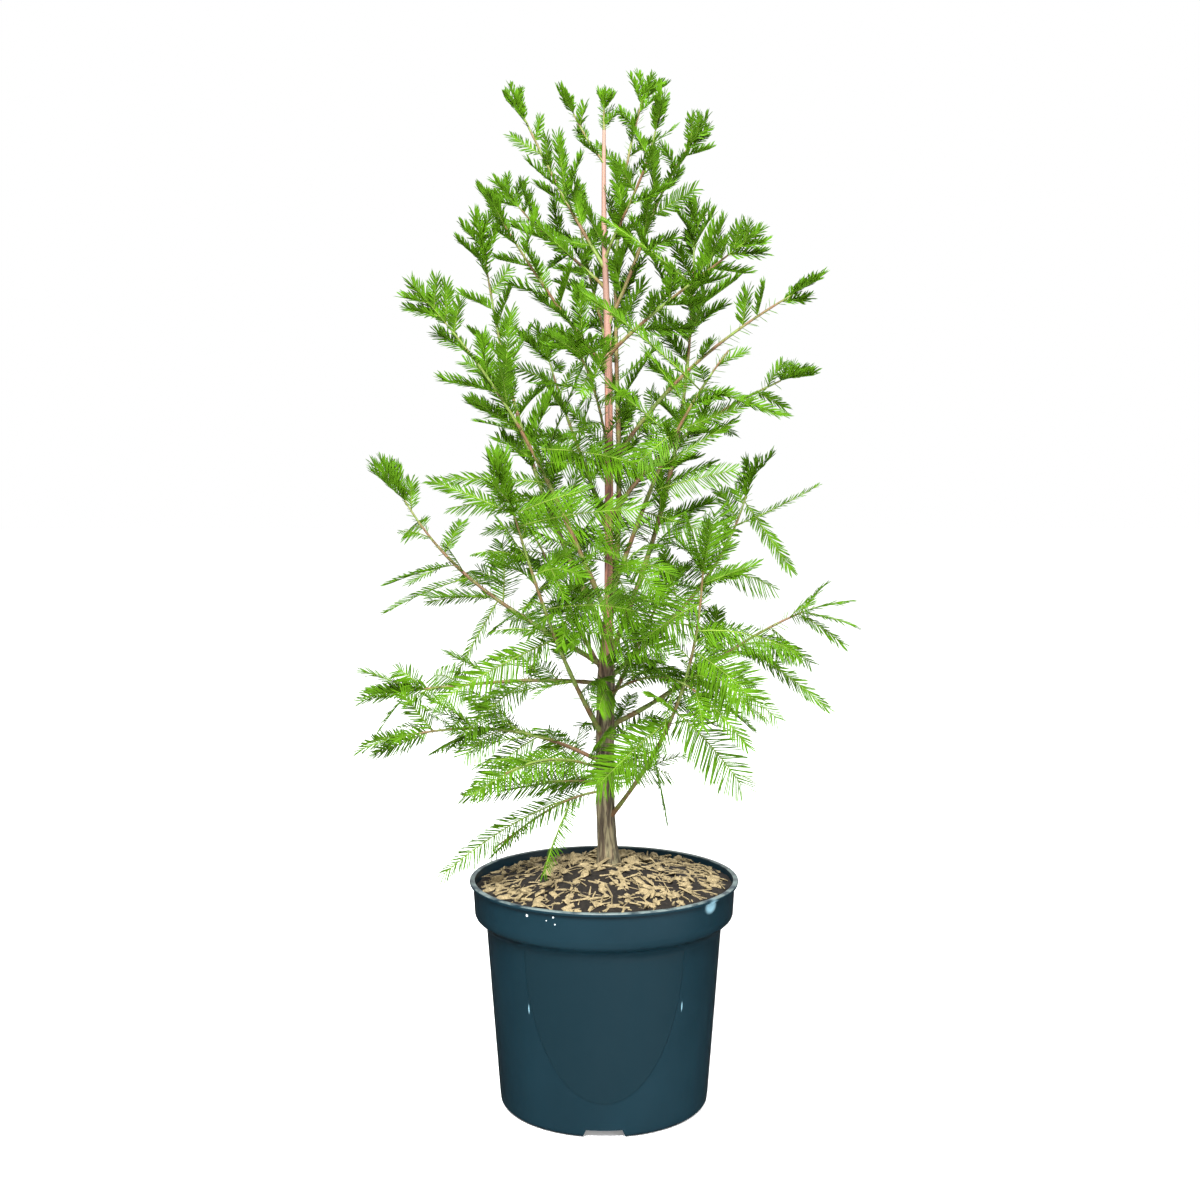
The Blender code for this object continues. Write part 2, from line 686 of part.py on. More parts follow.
def main():
    clear_scene()
    model = bpy.data.collections.new("potted_bald_cypress")
    helpers = bpy.data.collections.new("cutters")
    for collection in (model, helpers):
        bpy.context.scene.collection.children.link(collection)
    pot(model, helpers)
    soil(model, helpers, random.Random(SEED))
    trunk = trunk_solid("trunk", 0.0, model)
    trunk.data.materials.append(material("trunk_bark", COLOURS["trunk"], 0.85))
    trunk_cutter = helper(trunk_solid("trunk_cutter", GAP, helpers))
    bark = material("bough_bark", COLOURS["bough"], 0.75)
    needles = material("needles", COLOURS["foliage"], 0.55)
    crown = Crown()
    crown.add_object("trunk", trunk)
    masses = []
    for number, limb in enumerate(LIMBS):
        if limb.bare:
            branch = bough(limb, trunk_cutter, model)
            branch.data.materials.append(bark)
            crown.add_object("bough", branch)
        masses.append(Mass(number, limb, stem(limb, trunk_cutter, model)))
        crown.add_object(number, masses[-1].stem)
    for mass in masses:
        mass.tip_spray(crown)
    for i in range(max(mass.laterals for mass in masses)):
        for mass in masses:
            if i < mass.laterals:
                mass.lateral(crown, i)
    for mass in masses:
        mass.fuse(helpers)
        mass.stem.data.materials.append(needles)
    print("sprays", sum(len(mass.sprays) for mass in masses))


main()
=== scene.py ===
"""The looks of a young bald cypress in a round nursery pot, built on its packed CAD model.

Everything is in metres, +Z up, with the origin at the centre of the pot's underside and the front
at -Y. The crown grows by the rule of the solids, carried on to finer twigs, sprays and needles.
"""

import math
import random
from typing import NamedTuple

import bpy
import numpy as np
from bpy.props import FloatProperty, FloatVectorProperty, IntProperty, PointerProperty
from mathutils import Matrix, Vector, noise
from mathutils.geometry import interpolate_bezier


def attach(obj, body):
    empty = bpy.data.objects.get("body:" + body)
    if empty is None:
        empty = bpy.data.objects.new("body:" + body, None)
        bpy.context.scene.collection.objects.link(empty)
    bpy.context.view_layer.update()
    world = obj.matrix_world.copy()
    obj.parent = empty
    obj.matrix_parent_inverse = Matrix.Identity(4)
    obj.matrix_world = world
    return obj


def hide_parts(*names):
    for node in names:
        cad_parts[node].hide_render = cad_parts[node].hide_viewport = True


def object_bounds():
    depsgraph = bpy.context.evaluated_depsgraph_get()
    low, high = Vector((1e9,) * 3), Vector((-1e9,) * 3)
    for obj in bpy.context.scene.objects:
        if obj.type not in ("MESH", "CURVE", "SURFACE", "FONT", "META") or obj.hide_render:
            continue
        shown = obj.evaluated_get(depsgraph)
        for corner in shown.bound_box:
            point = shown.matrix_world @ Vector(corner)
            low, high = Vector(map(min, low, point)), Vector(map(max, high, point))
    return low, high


bl_info = {
    "name": "Potted bald cypress",
    "version": (1, 0, 0),
    "blender": (4, 5, 0),
    "location": "3D View > Sidebar > Cypress",
    "description": "Builds a young bald cypress in a nursery pot, with its bark, sprays and mulch",
    "category": "Object",
}

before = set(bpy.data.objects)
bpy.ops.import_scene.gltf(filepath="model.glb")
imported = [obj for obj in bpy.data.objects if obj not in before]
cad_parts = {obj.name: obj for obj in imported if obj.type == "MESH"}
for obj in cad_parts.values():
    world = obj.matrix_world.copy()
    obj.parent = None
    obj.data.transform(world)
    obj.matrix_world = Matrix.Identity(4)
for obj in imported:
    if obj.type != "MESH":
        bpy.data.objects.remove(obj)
CAD_BOX = [list(corner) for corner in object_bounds()]

UP = Vector((0.0, 0.0, 1.0))
SEED = 20
GOLDEN_ANGLE = 137.5

# Pot
POT_HEIGHT = 0.235
RIM_RADIUS = 0.140
LIP_HEIGHT = 0.0035
LIP_OVERHANG = 0.0035
COLLAR_BOTTOM = 0.200
COLLAR_TAPER = 0.002
NECK_HEIGHT = 0.186
NECK_RADIUS = 0.1225
BASE_RADIUS = 0.109
BASE_CORNER = 0.006
WALL = 0.002
CHANNELS = 4
CHANNEL_HEIGHT = 0.0085
CHANNEL_WIDTH = 0.046
CHANNEL_TOP_WIDTH = 0.036
CHANNEL_INNER_END = 0.032
FLOOR = CHANNEL_HEIGHT + WALL
PANEL_TOP = 0.180
PANEL_DEPTH = 0.143
PANEL_HALF_ANGLE = math.radians(40)
# On either side of the panel's edge: the band with finer faces, the step, the bead on it and the fade
PANEL_EDGE_BAND = 0.006
PANEL_STEP = 0.0016
PANEL_BEAD = 0.0011
PANEL_FADE = 0.004
LIP_ROUND = 0.0014
MOUTH_ROUND = 0.0008
# Up the shoulder under the collar: how far out from the neck and how far above it
SHOULDER = ((0.0006, 0.0022), (0.0025, 0.0048), (0.0056, 0.0074), (0.0090, 0.0098))
POT_ROW = 0.0032  # distance between two rings of the wall
# Heights between which the lip's rubbed edge and the dust on the collar begin
LIP_RUBBED = (POT_HEIGHT - 0.0012, POT_HEIGHT - 0.0003)
COLLAR_DUSTY = (0.196, 0.204)
DUST = (0.55, 0.60, 0.60)
SPECK = (0.62, 0.70, 0.70)
# Painted highlight: colour and strength of the glints painted into the plastic's colour
GLINT = (0.30, 0.55, 0.66)
GLINT_STRENGTH = 0.30
# Specks on the plastic, and painted highlights standing in for glints of light on the collar and by the
# panel's edges: the place, the size and how tall for its width
POT_SPECKS = (
    ((-0.0753, -0.1137, 0.226), 0.0016, 1.0),
    ((-0.0494, -0.1272, 0.228), 0.0011, 1.0),
    ((-0.0477, -0.1275, 0.221), 0.0009, 1.0),
    ((-0.0560, -0.1240, 0.224), 0.0007, 1.0),
)
POT_GLINTS = (
    ((0.1062, -0.0860, 0.2275), 0.0115, 0.8),
    ((-0.0749, -0.0917, 0.124), 0.0013, 6.0),
    ((0.0774, -0.0898, 0.126), 0.0013, 6.0),
)

# Fill
SOIL_TOP = 0.2455
SOIL_EDGE = 0.2245
SOIL_SEAT_RADIUS = 0.018
SOIL_GAP = 0.0003
SOIL_RINGS = 46
SOIL_SIDES = 200
# Mulch heaped over the fill: everywhere, more round the trunk out to a distance, and by the side
HEAP = 0.0035
HEAP_MIDDLE = 0.0065
HEAP_SPREAD = 0.050
HEAP_SLANT = 0.0030
# Lumps of the compost: how many to the metre, how high, and a place in the noise
LUMPS = ((90, 0.0020, 1.0), (260, 0.0012, 4.0))

# Trunk stations: height, x, y, radius
TRUNK = (
    (SOIL_TOP + SOIL_GAP, 0.006, 0.000, 0.0105),
    (0.276, 0.003, 0.000, 0.0100),
    (0.345, 0.001, 0.000, 0.0092),
    (0.438, 0.002, 0.000, 0.0092),
    (0.480, 0.003, -0.001, 0.0066),
    (0.530, 0.005, -0.001, 0.0046),
    (0.690, 0.005, 0.000, 0.0043),
    (0.790, 0.004, 0.000, 0.0037),
    (0.900, 0.000, 0.000, 0.0027),
    (1.000, 0.000, 0.000, 0.0017),
)
FLARE_HEIGHT = 0.030
FLARE = 0.30
FLARE_LOBES = 4
LOBE_DEPTH = 0.16
# Heights between which the old bark gives way to young bark, and that to the smooth bark of the top
OLD_TO_YOUNG = (0.455, 0.535)
FURROWED = (0.44, 0.52)  # heights between which the furrows run out
# The coarse and the fine strips of bark: how many to the metre around and up, and a place in the noise
BARK_STRIPS = ((330, 24, 0), (760, 55, 9))
YOUNG_TO_TOP = (0.66, 0.90)
STEM_TIP_RADIUS = 0.0009
LIMB_PULL = 0.38
HIGHEST_TIP = 1.068
LOWEST_LEAF = 0.254


class Limb(NamedTuple):
    """One limb of the crown, from the trunk's axis to the tip of its stem. Angles are in degrees."""

    name: str
    height: float  # where it leaves the trunk
    azimuth: float  # from +X towards +Y
    reach: float  # how far out its tip is
    rise: float  # and how far up
    leave: float  # slope at the trunk
    arrive: float  # slope at the tip
    radius: float
    bare: float  # the part without foliage; 0 for a stem that belongs to its mass of foliage
    spray: float  # length of its longest sprays
    droop: float


LIMBS = (
    Limb("low_left_droop", 0.326, 197, 0.118, -0.052, -2, -32, 0.0015, 0, 0.085, 0.25),
    Limb("low_left_flat", 0.334, 160, 0.118, -0.016, 4, -12, 0.0015, 0, 0.085, 0.10),
    Limb("low_right", 0.293, -38, 0.120, 0.266, 48, 87, 0.0027, 0.40, 0.100, 0.30),
    Limb("low_back", 0.318, 84, 0.130, 0.060, 28, 5, 0.0018, 0, 0.105, 0.25),
    Limb("left_low", 0.354, 187, 0.205, 0.034, 30, -10, 0.0022, 0.25, 0.100, 0.25),
    Limb("left_low_front", 0.348, 221, 0.130, 0.012, 22, -18, 0.0016, 0, 0.105, 0.35),
    Limb("left_front", 0.379, 232, 0.146, 0.245, 50, 66, 0.0027, 0.35, 0.105, 0.35),
    Limb("right_mid", 0.392, 3, 0.206, 0.120, 24, 22, 0.0027, 0.35, 0.105, 0.30),
    Limb("right_arch", 0.424, -42, 0.120, 0.016, 34, -28, 0.0016, 0, 0.110, 0.45),
    Limb("back_mid_right", 0.412, 66, 0.180, 0.120, 30, 30, 0.0026, 0.30, 0.110, 0.30),
    Limb("left_mid", 0.438, 178, 0.205, -0.008, 6, -6, 0.0024, 0.30, 0.105, 0.25),
    Limb("right_mid_up", 0.441, 35, 0.188, 0.190, 34, 68, 0.0028, 0.35, 0.100, 0.25),
    Limb("back_mid_left", 0.446, 118, 0.185, 0.150, 32, 34, 0.0026, 0.30, 0.110, 0.30),
    Limb("left_long", 0.455, 166, 0.220, 0.172, 30, 58, 0.0028, 0.40, 0.095, 0.15),
    Limb("right_leader", 0.458, 12, 0.092, 0.429, 66, 89, 0.0032, 0.22, 0.085, 0.10),
    Limb("second_leader", 0.488, 48, 0.054, 0.550, 76, 66, 0.0032, 0.22, 0.072, 0),
    Limb("left_leader", 0.486, 152, 0.145, 0.390, 60, 80, 0.0032, 0.28, 0.095, 0.05),
    Limb("left_front_leader", 0.508, 206, 0.176, 0.292, 64, 47, 0.0030, 0.25, 0.085, 0.05),
    Limb("front_mid", 0.520, 277, 0.125, 0.050, 36, 4, 0.0016, 0, 0.110, 0.35),
    Limb("right_front_leader", 0.524, -32, 0.137, 0.250, 66, 48, 0.0028, 0.25, 0.100, 0.15),
    Limb("back_upper", 0.590, 112, 0.175, 0.190, 50, 52, 0.0026, 0.25, 0.100, 0.10),
    Limb("right_upper_low", 0.607, 21, 0.196, 0.147, 56, 24, 0.0025, 0.30, 0.066, 0.10),
    Limb("right_upper", 0.660, -18, 0.186, 0.168, 56, 29, 0.0025, 0.30, 0.062, 0),
    Limb("front_upper", 0.672, 258, 0.125, 0.090, 50, 22, 0.0015, 0, 0.095, 0.10),
    Limb("upper_left", 0.760, 204, 0.113, 0.139, 46, 55, 0.0022, 0.22, 0.070, 0),
    Limb("upper_right_low", 0.775, -30, 0.134, 0.091, 40, 32, 0.0021, 0.22, 0.066, 0),
    Limb("back_high", 0.780, 104, 0.125, 0.150, 50, 62, 0.0020, 0.22, 0.080, 0),
    Limb("upper_right", 0.806, 2, 0.080, 0.175, 62, 56, 0.0022, 0.22, 0.066, -0.05),
    Limb("upper_left_back", 0.842, 138, 0.124, 0.096, 40, 44, 0.0018, 0.22, 0.072, -0.05),
    Limb("top_left", 0.862, 168, 0.084, 0.153, 58, 64, 0.0019, 0.22, 0.060, -0.05),
    Limb("top_right", 0.872, -52, 0.079, 0.113, 56, 69, 0.0016, 0, 0.062, -0.05),
    Limb("top_small_left", 0.968, 172, 0.031, 0.049, 50, 62, 0.0012, 0, 0.048, -0.05),
    Limb("leader_tip", 1.000, 90, 0.001, 0.020, 90, 90, 0.0017, 0, 0.030, 0),
)


# ---------------------------------------------------------------- settings


def amount(name, default, about, low=0.0, unit="NONE"):
    return FloatProperty(name=name, description=about, default=default, min=low, unit=unit)


def length(name, default, about, low=0.0):
    return amount(name, default, about, low, "LENGTH")


def colour(name, default, about):
    return FloatVectorProperty(
        name=name, description=about, default=default, size=3, min=0.0, max=1.0, subtype="COLOR"
    )


class PotSettings(bpy.types.PropertyGroup):
    """The nursery pot."""

    plastic: colour("Plastic", (0.0019, 0.0095, 0.0142), "Colour of the pot's plastic")
    panel: colour("Panel", (0.0020, 0.0090, 0.0130), "Colour of the U-shaped panel at the front")
    lip: colour("Lip", (0.090, 0.115, 0.110), "Rubbed colour on the edge of the lip")
    relief: length("Panel relief", 0.0005, "How far the panel stands out of the wall")
    sides: IntProperty(name="Sides", description="Facets round the pot", default=240, min=48)


class MulchSettings(bpy.types.PropertyGroup):
    """The fill and the wood chips on it."""

    compost: colour("Compost", (0.004, 0.003, 0.002), "Colour of the compost")
    straw: colour("Straw wood", (0.18, 0.140, 0.072), "Colour of most of the chips")
    cream: colour("Cream wood", (0.70, 0.600, 0.380), "Colour of the palest chips")
    brown: colour("Brown bark", (0.060, 0.022, 0.011), "Colour of the bits of bark")
    chips: IntProperty(name="Chips", description="Number of wood chips", default=920, min=50)


class BarkSettings(bpy.types.PropertyGroup):
    """The bark of the trunk and the limbs."""

    furrow: length("Furrow depth", 0.0010, "Depth of the furrows in the old bark")
    old: colour("Old bark", (0.030, 0.027, 0.015), "Ridges of the bark at the foot")
    groove: colour("Grooves", (0.022, 0.014, 0.009), "Bottom of the furrows")
    young: colour("Young bark", (0.115, 0.052, 0.034), "Bark half way up")
    tip: colour("Top bark", (0.160, 0.092, 0.068), "Smooth bark of the top shoot")
    limb: colour("Limb bark", (0.085, 0.045, 0.018), "Bark of the boughs")
    green: colour("Green twig", (0.080, 0.120, 0.018), "Skin of this year's twigs")


class FoliageSettings(bpy.types.PropertyGroup):
    """The sprays and their needles."""

    needle: length("Needle", 0.0185, "Length of the longest needles on a spray")
    width: length("Needle width", 0.0016, "Width of a needle")
    spacing: length("Needle spacing", 0.0023, "Distance between two needles of a row", 0.0005)
    twig: length("Spray spacing", 0.0118, "Distance between two sprays on a stem", 0.004)
    # Painted shade: this darkest green goes to sprays deep in the crown and at the back, where shade falls,
    # and to the feet of other sprays
    shade: colour("Shade green", (0.030, 0.075, 0.002), "Oldest needles, deep in the crown")
    middle: colour("Leaf green", (0.200, 0.360, 0.004), "Most of the needles")
    fresh: colour("Fresh green", (0.440, 0.690, 0.008), "Young needles")
    lime: colour("Lime green", (0.800, 0.920, 0.030), "Needles at the tips of the shoots")
    emerald: colour("Emerald green", (0.060, 0.950, 0.080), "Long needles low in the crown")
    # Besides standing for the backs of needles, olive goes to sprays deep in the crown, where it is painted
    # shade
    olive: colour("Olive", (0.190, 0.170, 0.006), "Needles whose backs show")


class StageSettings(bpy.types.PropertyGroup):
    """The floor, the light and the camera."""

    floor: colour("Floor", (0.90, 0.90, 0.90), "Colour of the floor")
    world: amount("Surroundings", 0.95, "Strength of the light from the sky")
    window: amount("Window", 95.0, "Power of the broad light at the right", unit="POWER")
    top: amount("Top light", 470.0, "Power of the light above the front", unit="POWER")
    glow: amount("Floor glow", 0.22, "Strength of the floor's own light")
    lens: amount("Focal length", 46.1, "Focal length of the camera", 10.0, "CAMERA")


# ---------------------------------------------------------------- materials


class Wire:
    """An output of a node, for use in arithmetic."""

    def __init__(self, finish, socket):
        self.finish, self.socket = finish, socket

    def maths(self, operation, *values):
        return self.finish.node("ShaderNodeMath", {"operation": operation}, dict(enumerate(values)))

    def __add__(self, other):
        return self.maths("ADD", self, other)

    def __mul__(self, other):
        return self.maths("MULTIPLY", self, other)

    def __rsub__(self, other):
        return self.maths("SUBTRACT", other, self)

    __radd__ = __add__

    def step(self, low, high):
        """0 below low and 1 above high, with a smooth rise between."""
        settings = {"interpolation_type": "SMOOTHSTEP"}
        return self.finish.node("ShaderNodeMapRange", settings, {0: self, 1: low, 2: high})


class Finish:
    """A material while its nodes are made."""

    def __init__(self, name, roughness, specular):
        self.material = bpy.data.materials.new(name)
        self.material.use_nodes = True
        self.tree = self.material.node_tree
        self.shader = self.tree.nodes["Principled BSDF"]
        self.shader.inputs["Roughness"].default_value = roughness
        self.shader.inputs["Specular IOR Level"].default_value = specular

    def node(self, kind, settings, inputs, output=0):
        """A node with its settings, then its sockets' values or links."""
        made = self.tree.nodes.new(kind)
        for key, value in settings.items():
            setattr(made, key, value)
        for key, value in inputs.items():
            if isinstance(value, Wire):
                self.tree.links.new(value.socket, made.inputs[key])
            else:
                made.inputs[key].default_value = value
        return Wire(self, made.outputs[output])

    def place(self, scale=(1.0, 1.0, 1.0)):
        """The point on the surface, in the object's own space."""
        point = self.node("ShaderNodeTexCoord", {}, {}, "Object")
        return self.node("ShaderNodeMapping", {}, {"Vector": point, "Scale": scale})

    def height(self):
        return self.node("ShaderNodeSeparateXYZ", {}, {0: self.place()}, "Z")

    def attribute(self, name):
        return self.node("ShaderNodeAttribute", {"attribute_name": name}, {}, "Fac")

    def grain(self, scale, detail=3.0, stretch=(1.0, 1.0, 1.0)):
        """Noise between 0 and 1; a small stretch draws it out along that axis."""
        inputs = {"Vector": self.place(stretch), "Scale": scale, "Detail": detail, "Roughness": 0.55}
        return self.node("ShaderNodeTexNoise", {}, inputs)

    def spot(self, point, size, tall=1.0):
        """1 near a point and 0 beyond a size; tall stretches the spot upward."""
        scale = (1.0, 1.0, 1.0 / tall)
        near = {0: self.place(scale), 1: (point[0], point[1], point[2] / tall)}
        away = self.node("ShaderNodeVectorMath", {"operation": "DISTANCE"}, near, "Value")
        return 1 - away.step(size * 0.4, size)

    def mix(self, factor, one, other):
        """From one colour to the other by a factor."""
        picked = [tone if isinstance(tone, Wire) else (*tone, 1.0) for tone in (one, other)]
        settings = {"data_type": "RGBA"}
        return self.node("ShaderNodeMix", settings, {0: factor, 6: picked[0], 7: picked[1]}, 2)

    def bump(self, height, depth):
        inputs = {"Height": height, "Distance": depth, "Strength": 1.0}
        return self.node("ShaderNodeBump", {}, inputs)

    def set(self, socket, wire):
        self.tree.links.new(wire.socket, self.shader.inputs[socket])
        return self


def shaded(tone, factor):
    """A colour made darker or lighter."""
    return [min(1.0, c * factor) for c in tone]


def plastic_finish(settings):
    """Moulded plastic, dusty and a little rubbed at the lip, with a few painted highlights."""
    made = Finish("pot_plastic", roughness=0.3, specular=0.20)
    height, mottle, streaks = made.height(), made.grain(9.0, 4.0), made.grain(30.0, 2.0, (1.0, 1.0, 0.05))
    tone = made.mix(mottle.step(0.35, 0.75) * 0.6, settings.plastic, shaded(settings.plastic, 1.35))
    tone = made.mix(made.attribute("panel"), tone, settings.panel)
    rubbed = height.step(*LIP_RUBBED) * made.grain(60.0).step(0.35, 0.6)
    tone = made.mix(rubbed * 0.8, tone, settings.lip)
    cells = made.node("ShaderNodeTexVoronoi", {}, {"Vector": made.place(), "Scale": 55.0}, "Distance")
    rare = made.grain(14.0, 0.0).step(0.66, 0.70) * height.step(*COLLAR_DUSTY)
    tone = made.mix((1 - cells.step(0.040, 0.060)) * rare, tone, DUST)
    for place, size, tall in POT_SPECKS:
        tone = made.mix(made.spot(place, size, tall), tone, SPECK)
    # Painted highlights: pale glints mixed into the base colour where light catches the collar and the
    # panel's edges
    for place, size, tall in POT_GLINTS:
        tone = made.mix(made.spot(place, size, tall) * GLINT_STRENGTH, tone, GLINT)
    made.set("Base Color", tone)
    made.set("Roughness", 0.22 + streaks * 0.10 + mottle * 0.08 + rubbed * 0.2)
    return made.set("Normal", made.bump(made.grain(420.0, 1.0), 0.00003)).material


def compost_finish(settings):
    made = Finish("compost", roughness=0.95, specular=0.2)
    crumbs = made.grain(260.0, 4.0)
    made.set("Base Color", made.mix(crumbs.step(0.4, 0.75), settings.compost, shaded(settings.compost, 2.6)))
    return made.set("Normal", made.bump(crumbs, 0.0008)).material


def wood_finish(name, tone, contrast):
    """Torn wood with a fine grain and a few dirty ends."""
    made = Finish(name, roughness=0.8, specular=0.25)
    fibre, dirt = made.grain(700.0), made.grain(120.0)
    mixed = made.mix(fibre.step(0.35, 0.65), shaded(tone, 1 - contrast), tone)
    mixed = made.mix(dirt.step(0.58, 0.72) * 0.6, mixed, shaded(tone, 0.35))
    made.set("Base Color", mixed)
    return made.set("Normal", made.bump(fibre, 0.0002)).material


def trunk_finish(settings):
    """Fibrous bark that turns smooth and pink towards the top."""
    made = Finish("trunk_bark", roughness=0.85, specular=0.25)
    height = made.height()
    strips = made.grain(260.0, 4.0, (1.0, 1.0, 0.09))
    broad = made.grain(120.0, 3.0, (1.0, 1.0, 0.12))
    old = made.mix(strips.step(0.45, 0.57), settings.old, shaded(settings.old, 4.0))
    old = made.mix(broad.step(0.40, 0.66) * 0.25, old, settings.young)
    old = made.mix(made.attribute("furrow"), old, settings.groove)
    young = made.mix(strips.step(0.35, 0.70), shaded(settings.young, 0.40), shaded(settings.young, 2.0))
    top = made.mix(broad.step(0.42, 0.62) * 0.5, settings.tip, shaded(settings.tip, 0.72))
    tone = made.mix((height + strips * 0.05).step(*OLD_TO_YOUNG), old, young)
    tone = made.mix((height + broad * 0.04).step(*YOUNG_TO_TOP), tone, top)
    made.set("Base Color", tone)
    made.set("Roughness", 0.88 - height.step(0.5, 0.9) * 0.30)
    return made.set("Normal", made.bump(strips, 0.0004)).material


def limb_finish(name, one, other):
    """Thin bark with fine streaks along the limb."""
    made = Finish(name, roughness=0.65, specular=0.3)
    streaks, blotch = made.grain(600.0, 3.0, (1.0, 1.0, 0.25)), made.grain(45.0, 2.0)
    tone = made.mix(blotch.step(0.38, 0.62), one, other)
    made.set("Base Color", made.mix(streaks.step(0.45, 0.75) * 0.45, tone, shaded(one, 0.45)))
    return made.set("Normal", made.bump(streaks, 0.0002)).material


def needle_finish(name, tone):
    """A soft needle: waxy, with a slightly paler bloom here and there."""
    made = Finish(name, roughness=0.5, specular=0.03)
    bloom = made.grain(70.0, 2.0)
    made.set("Base Color", made.mix(bloom.step(0.35, 0.65), shaded(tone, 0.85), shaded(tone, 1.35)))
    return made.set("Roughness", 0.42 + bloom * 0.2).material


# ---------------------------------------------------------------- modelling


def deselect():
    if bpy.context.mode != "OBJECT":
        bpy.ops.object.mode_set(mode="OBJECT")
    bpy.ops.object.select_all(action="DESELECT")


def pick(obj):
    """Makes this the only selected object."""
    deselect()
    obj.select_set(True)
    bpy.context.view_layer.objects.active = obj


def edit(kind="FACE"):
    """Goes into edit mode, to select faces or vertices."""
    bpy.ops.object.mode_set(mode="EDIT")
    bpy.ops.mesh.select_mode(type=kind)


def select_faces(obj, wanted):
    """Selects in edit mode the faces for which wanted(centre, normal) holds."""
    edit()
    bpy.ops.mesh.select_all(action="DESELECT")
    bpy.ops.object.mode_set(mode="OBJECT")
    for face in obj.data.polygons:
        face.select = bool(wanted(face.center, face.normal))
    edit()


def named(name):
    """The object just made, under its name."""
    obj = bpy.context.object
    obj.name = obj.data.name = name
    return obj


def lathe(name, profile, sides):
    """A closed solid of revolution, drawn up ring by ring through (radius, height) points."""
    deselect()
    radius, height = profile[0]
    bpy.ops.mesh.primitive_circle_add(
        vertices=sides, radius=radius, fill_type="NGON", location=(0, 0, height)
    )
    obj = named(name)
    edit()
    for wide, high in profile[1:]:
        bpy.ops.mesh.extrude_region_move(TRANSFORM_OT_translate={"value": (0, 0, high - height)})
        factor = wide / radius
        bpy.ops.transform.resize(value=(factor, factor, 1), center_override=(0, 0, 0))
        radius, height = wide, high
    bpy.ops.mesh.select_all(action="SELECT")
    bpy.ops.mesh.normals_make_consistent(inside=False)
    bpy.ops.object.mode_set(mode="OBJECT")
    bpy.ops.object.transform_apply()
    return obj


def arc(centre, radius, start, end, steps):
    """Points on an arc of a profile, with angles in degrees from outwards to upwards."""
    angles = [math.radians(start + (end - start) * i / steps) for i in range(steps + 1)]
    return [(centre[0] + radius * math.cos(a), centre[1] + radius * math.sin(a)) for a in angles]


def spaced(start, end, step):
    """Points on a straight line of a profile, the first one left out."""
    count = max(1, round(math.dist(start, end) / step))
    return [tuple(a + (b - a) * i / count for a, b in zip(start, end)) for i in range(1, count + 1)]


def outer_profile(row):
    """The pot's outer side from its foot to just under the lip."""
    collar = RIM_RADIUS - LIP_OVERHANG
    foot = arc((BASE_RADIUS - BASE_CORNER, BASE_CORNER), BASE_CORNER, -90, 0, 8)
    neck = (NECK_RADIUS, NECK_HEIGHT)
    shoulder = [
        *((NECK_RADIUS + out, NECK_HEIGHT + up) for out, up in SHOULDER),
        (collar - COLLAR_TAPER - 0.0010, NECK_HEIGHT + 0.0118),
        (collar - COLLAR_TAPER, COLLAR_BOTTOM),
    ]
    lip_foot = (collar, POT_HEIGHT - LIP_HEIGHT)
    return foot + spaced(foot[-1], neck, row) + shoulder + spaced(shoulder[-1], lip_foot, row * 2)


def join(name, parts):
    """One object from several."""
    deselect()
    for part in parts:
        part.select_set(True)
    bpy.context.view_layer.objects.active = parts[0]
    if len(parts) > 1:
        bpy.ops.object.join()
    return named(name)


def finish_piece(obj, slot, nodes, *materials):
    """Gives the piece its finishes, puts it under the root body and hides the parts of the frame that it
    stands for.
    """
    missing = [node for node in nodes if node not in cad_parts]
    if missing:
        raise ValueError(f"the frame has no {missing}")
    obj.data.materials.clear()
    for material in materials:
        obj.data.materials.append(material)
    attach(obj, "root")
    if nodes:
        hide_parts(*nodes)
    deselect()
    return obj


def smooth(obj, degrees):
    """Smooths the edges flatter than an angle."""
    pick(obj)
    bpy.ops.object.shade_smooth_by_angle(angle=math.radians(degrees))


def clamped(value):
    return max(0.0, min(1.0, value))


def arrays_of(obj):
    """Corners and triangles of a small model, which is then removed."""
    mesh = obj.data
    mesh.calc_loop_triangles()
    corners = np.array([vertex.co[:] for vertex in mesh.vertices])
    triangles = np.array([tuple(face.vertices) for face in mesh.loop_triangles])
    bpy.data.objects.remove(obj)
    return corners, triangles


def mesh_object(name, corners, triangles, tones=None, flat=False):
    """An object from arrays, with a material index for each triangle."""
    mesh = bpy.data.meshes.new(name)
    mesh.vertices.add(len(corners))
    mesh.vertices.foreach_set("co", np.ascontiguousarray(corners, np.float32).ravel())
    mesh.loops.add(triangles.size)
    mesh.loops.foreach_set("vertex_index", np.ascontiguousarray(triangles, np.int32).ravel())
    mesh.polygons.add(len(triangles))
    mesh.polygons.foreach_set("loop_start", np.arange(0, triangles.size, 3, dtype=np.int32))
    if tones is not None:
        mesh.polygons.foreach_set("material_index", np.ascontiguousarray(tones, np.int32))
    mesh.update(calc_edges=True)
    if flat:
        mesh.shade_flat()
    obj = bpy.data.objects.new(name, mesh)
    bpy.context.scene.collection.objects.link(obj)
    return obj


def set_attribute(obj, name, values):
    """Writes one value for each vertex, for the finish to read."""
    made = obj.data.attributes.new(name, "FLOAT", "POINT")
    made.data.foreach_set("value", np.asarray(values, np.float32))


# ---------------------------------------------------------------- pot


def panel_depth(point):
    """How far a point of the wall lies inside the panel's edge, and below 0 outside it."""
    wide = abs(math.atan2(point.x, -point.y)) / PANEL_HALF_ANGLE
    low = min(0.0, (point.z - PANEL_TOP) / PANEL_DEPTH)
    return (1 - math.hypot(wide, low)) * PANEL_DEPTH


def near_panel_edge(centre, normal):
    """Whether a face of the outer wall lies where the panel's edge runs."""
    outer = centre.xy.length > BASE_RADIUS and abs(normal.z) < 0.5 and centre.z < NECK_HEIGHT
    return outer and centre.xy.dot(normal.xy) > 0 and abs(panel_depth(centre)) < PANEL_EDGE_BAND


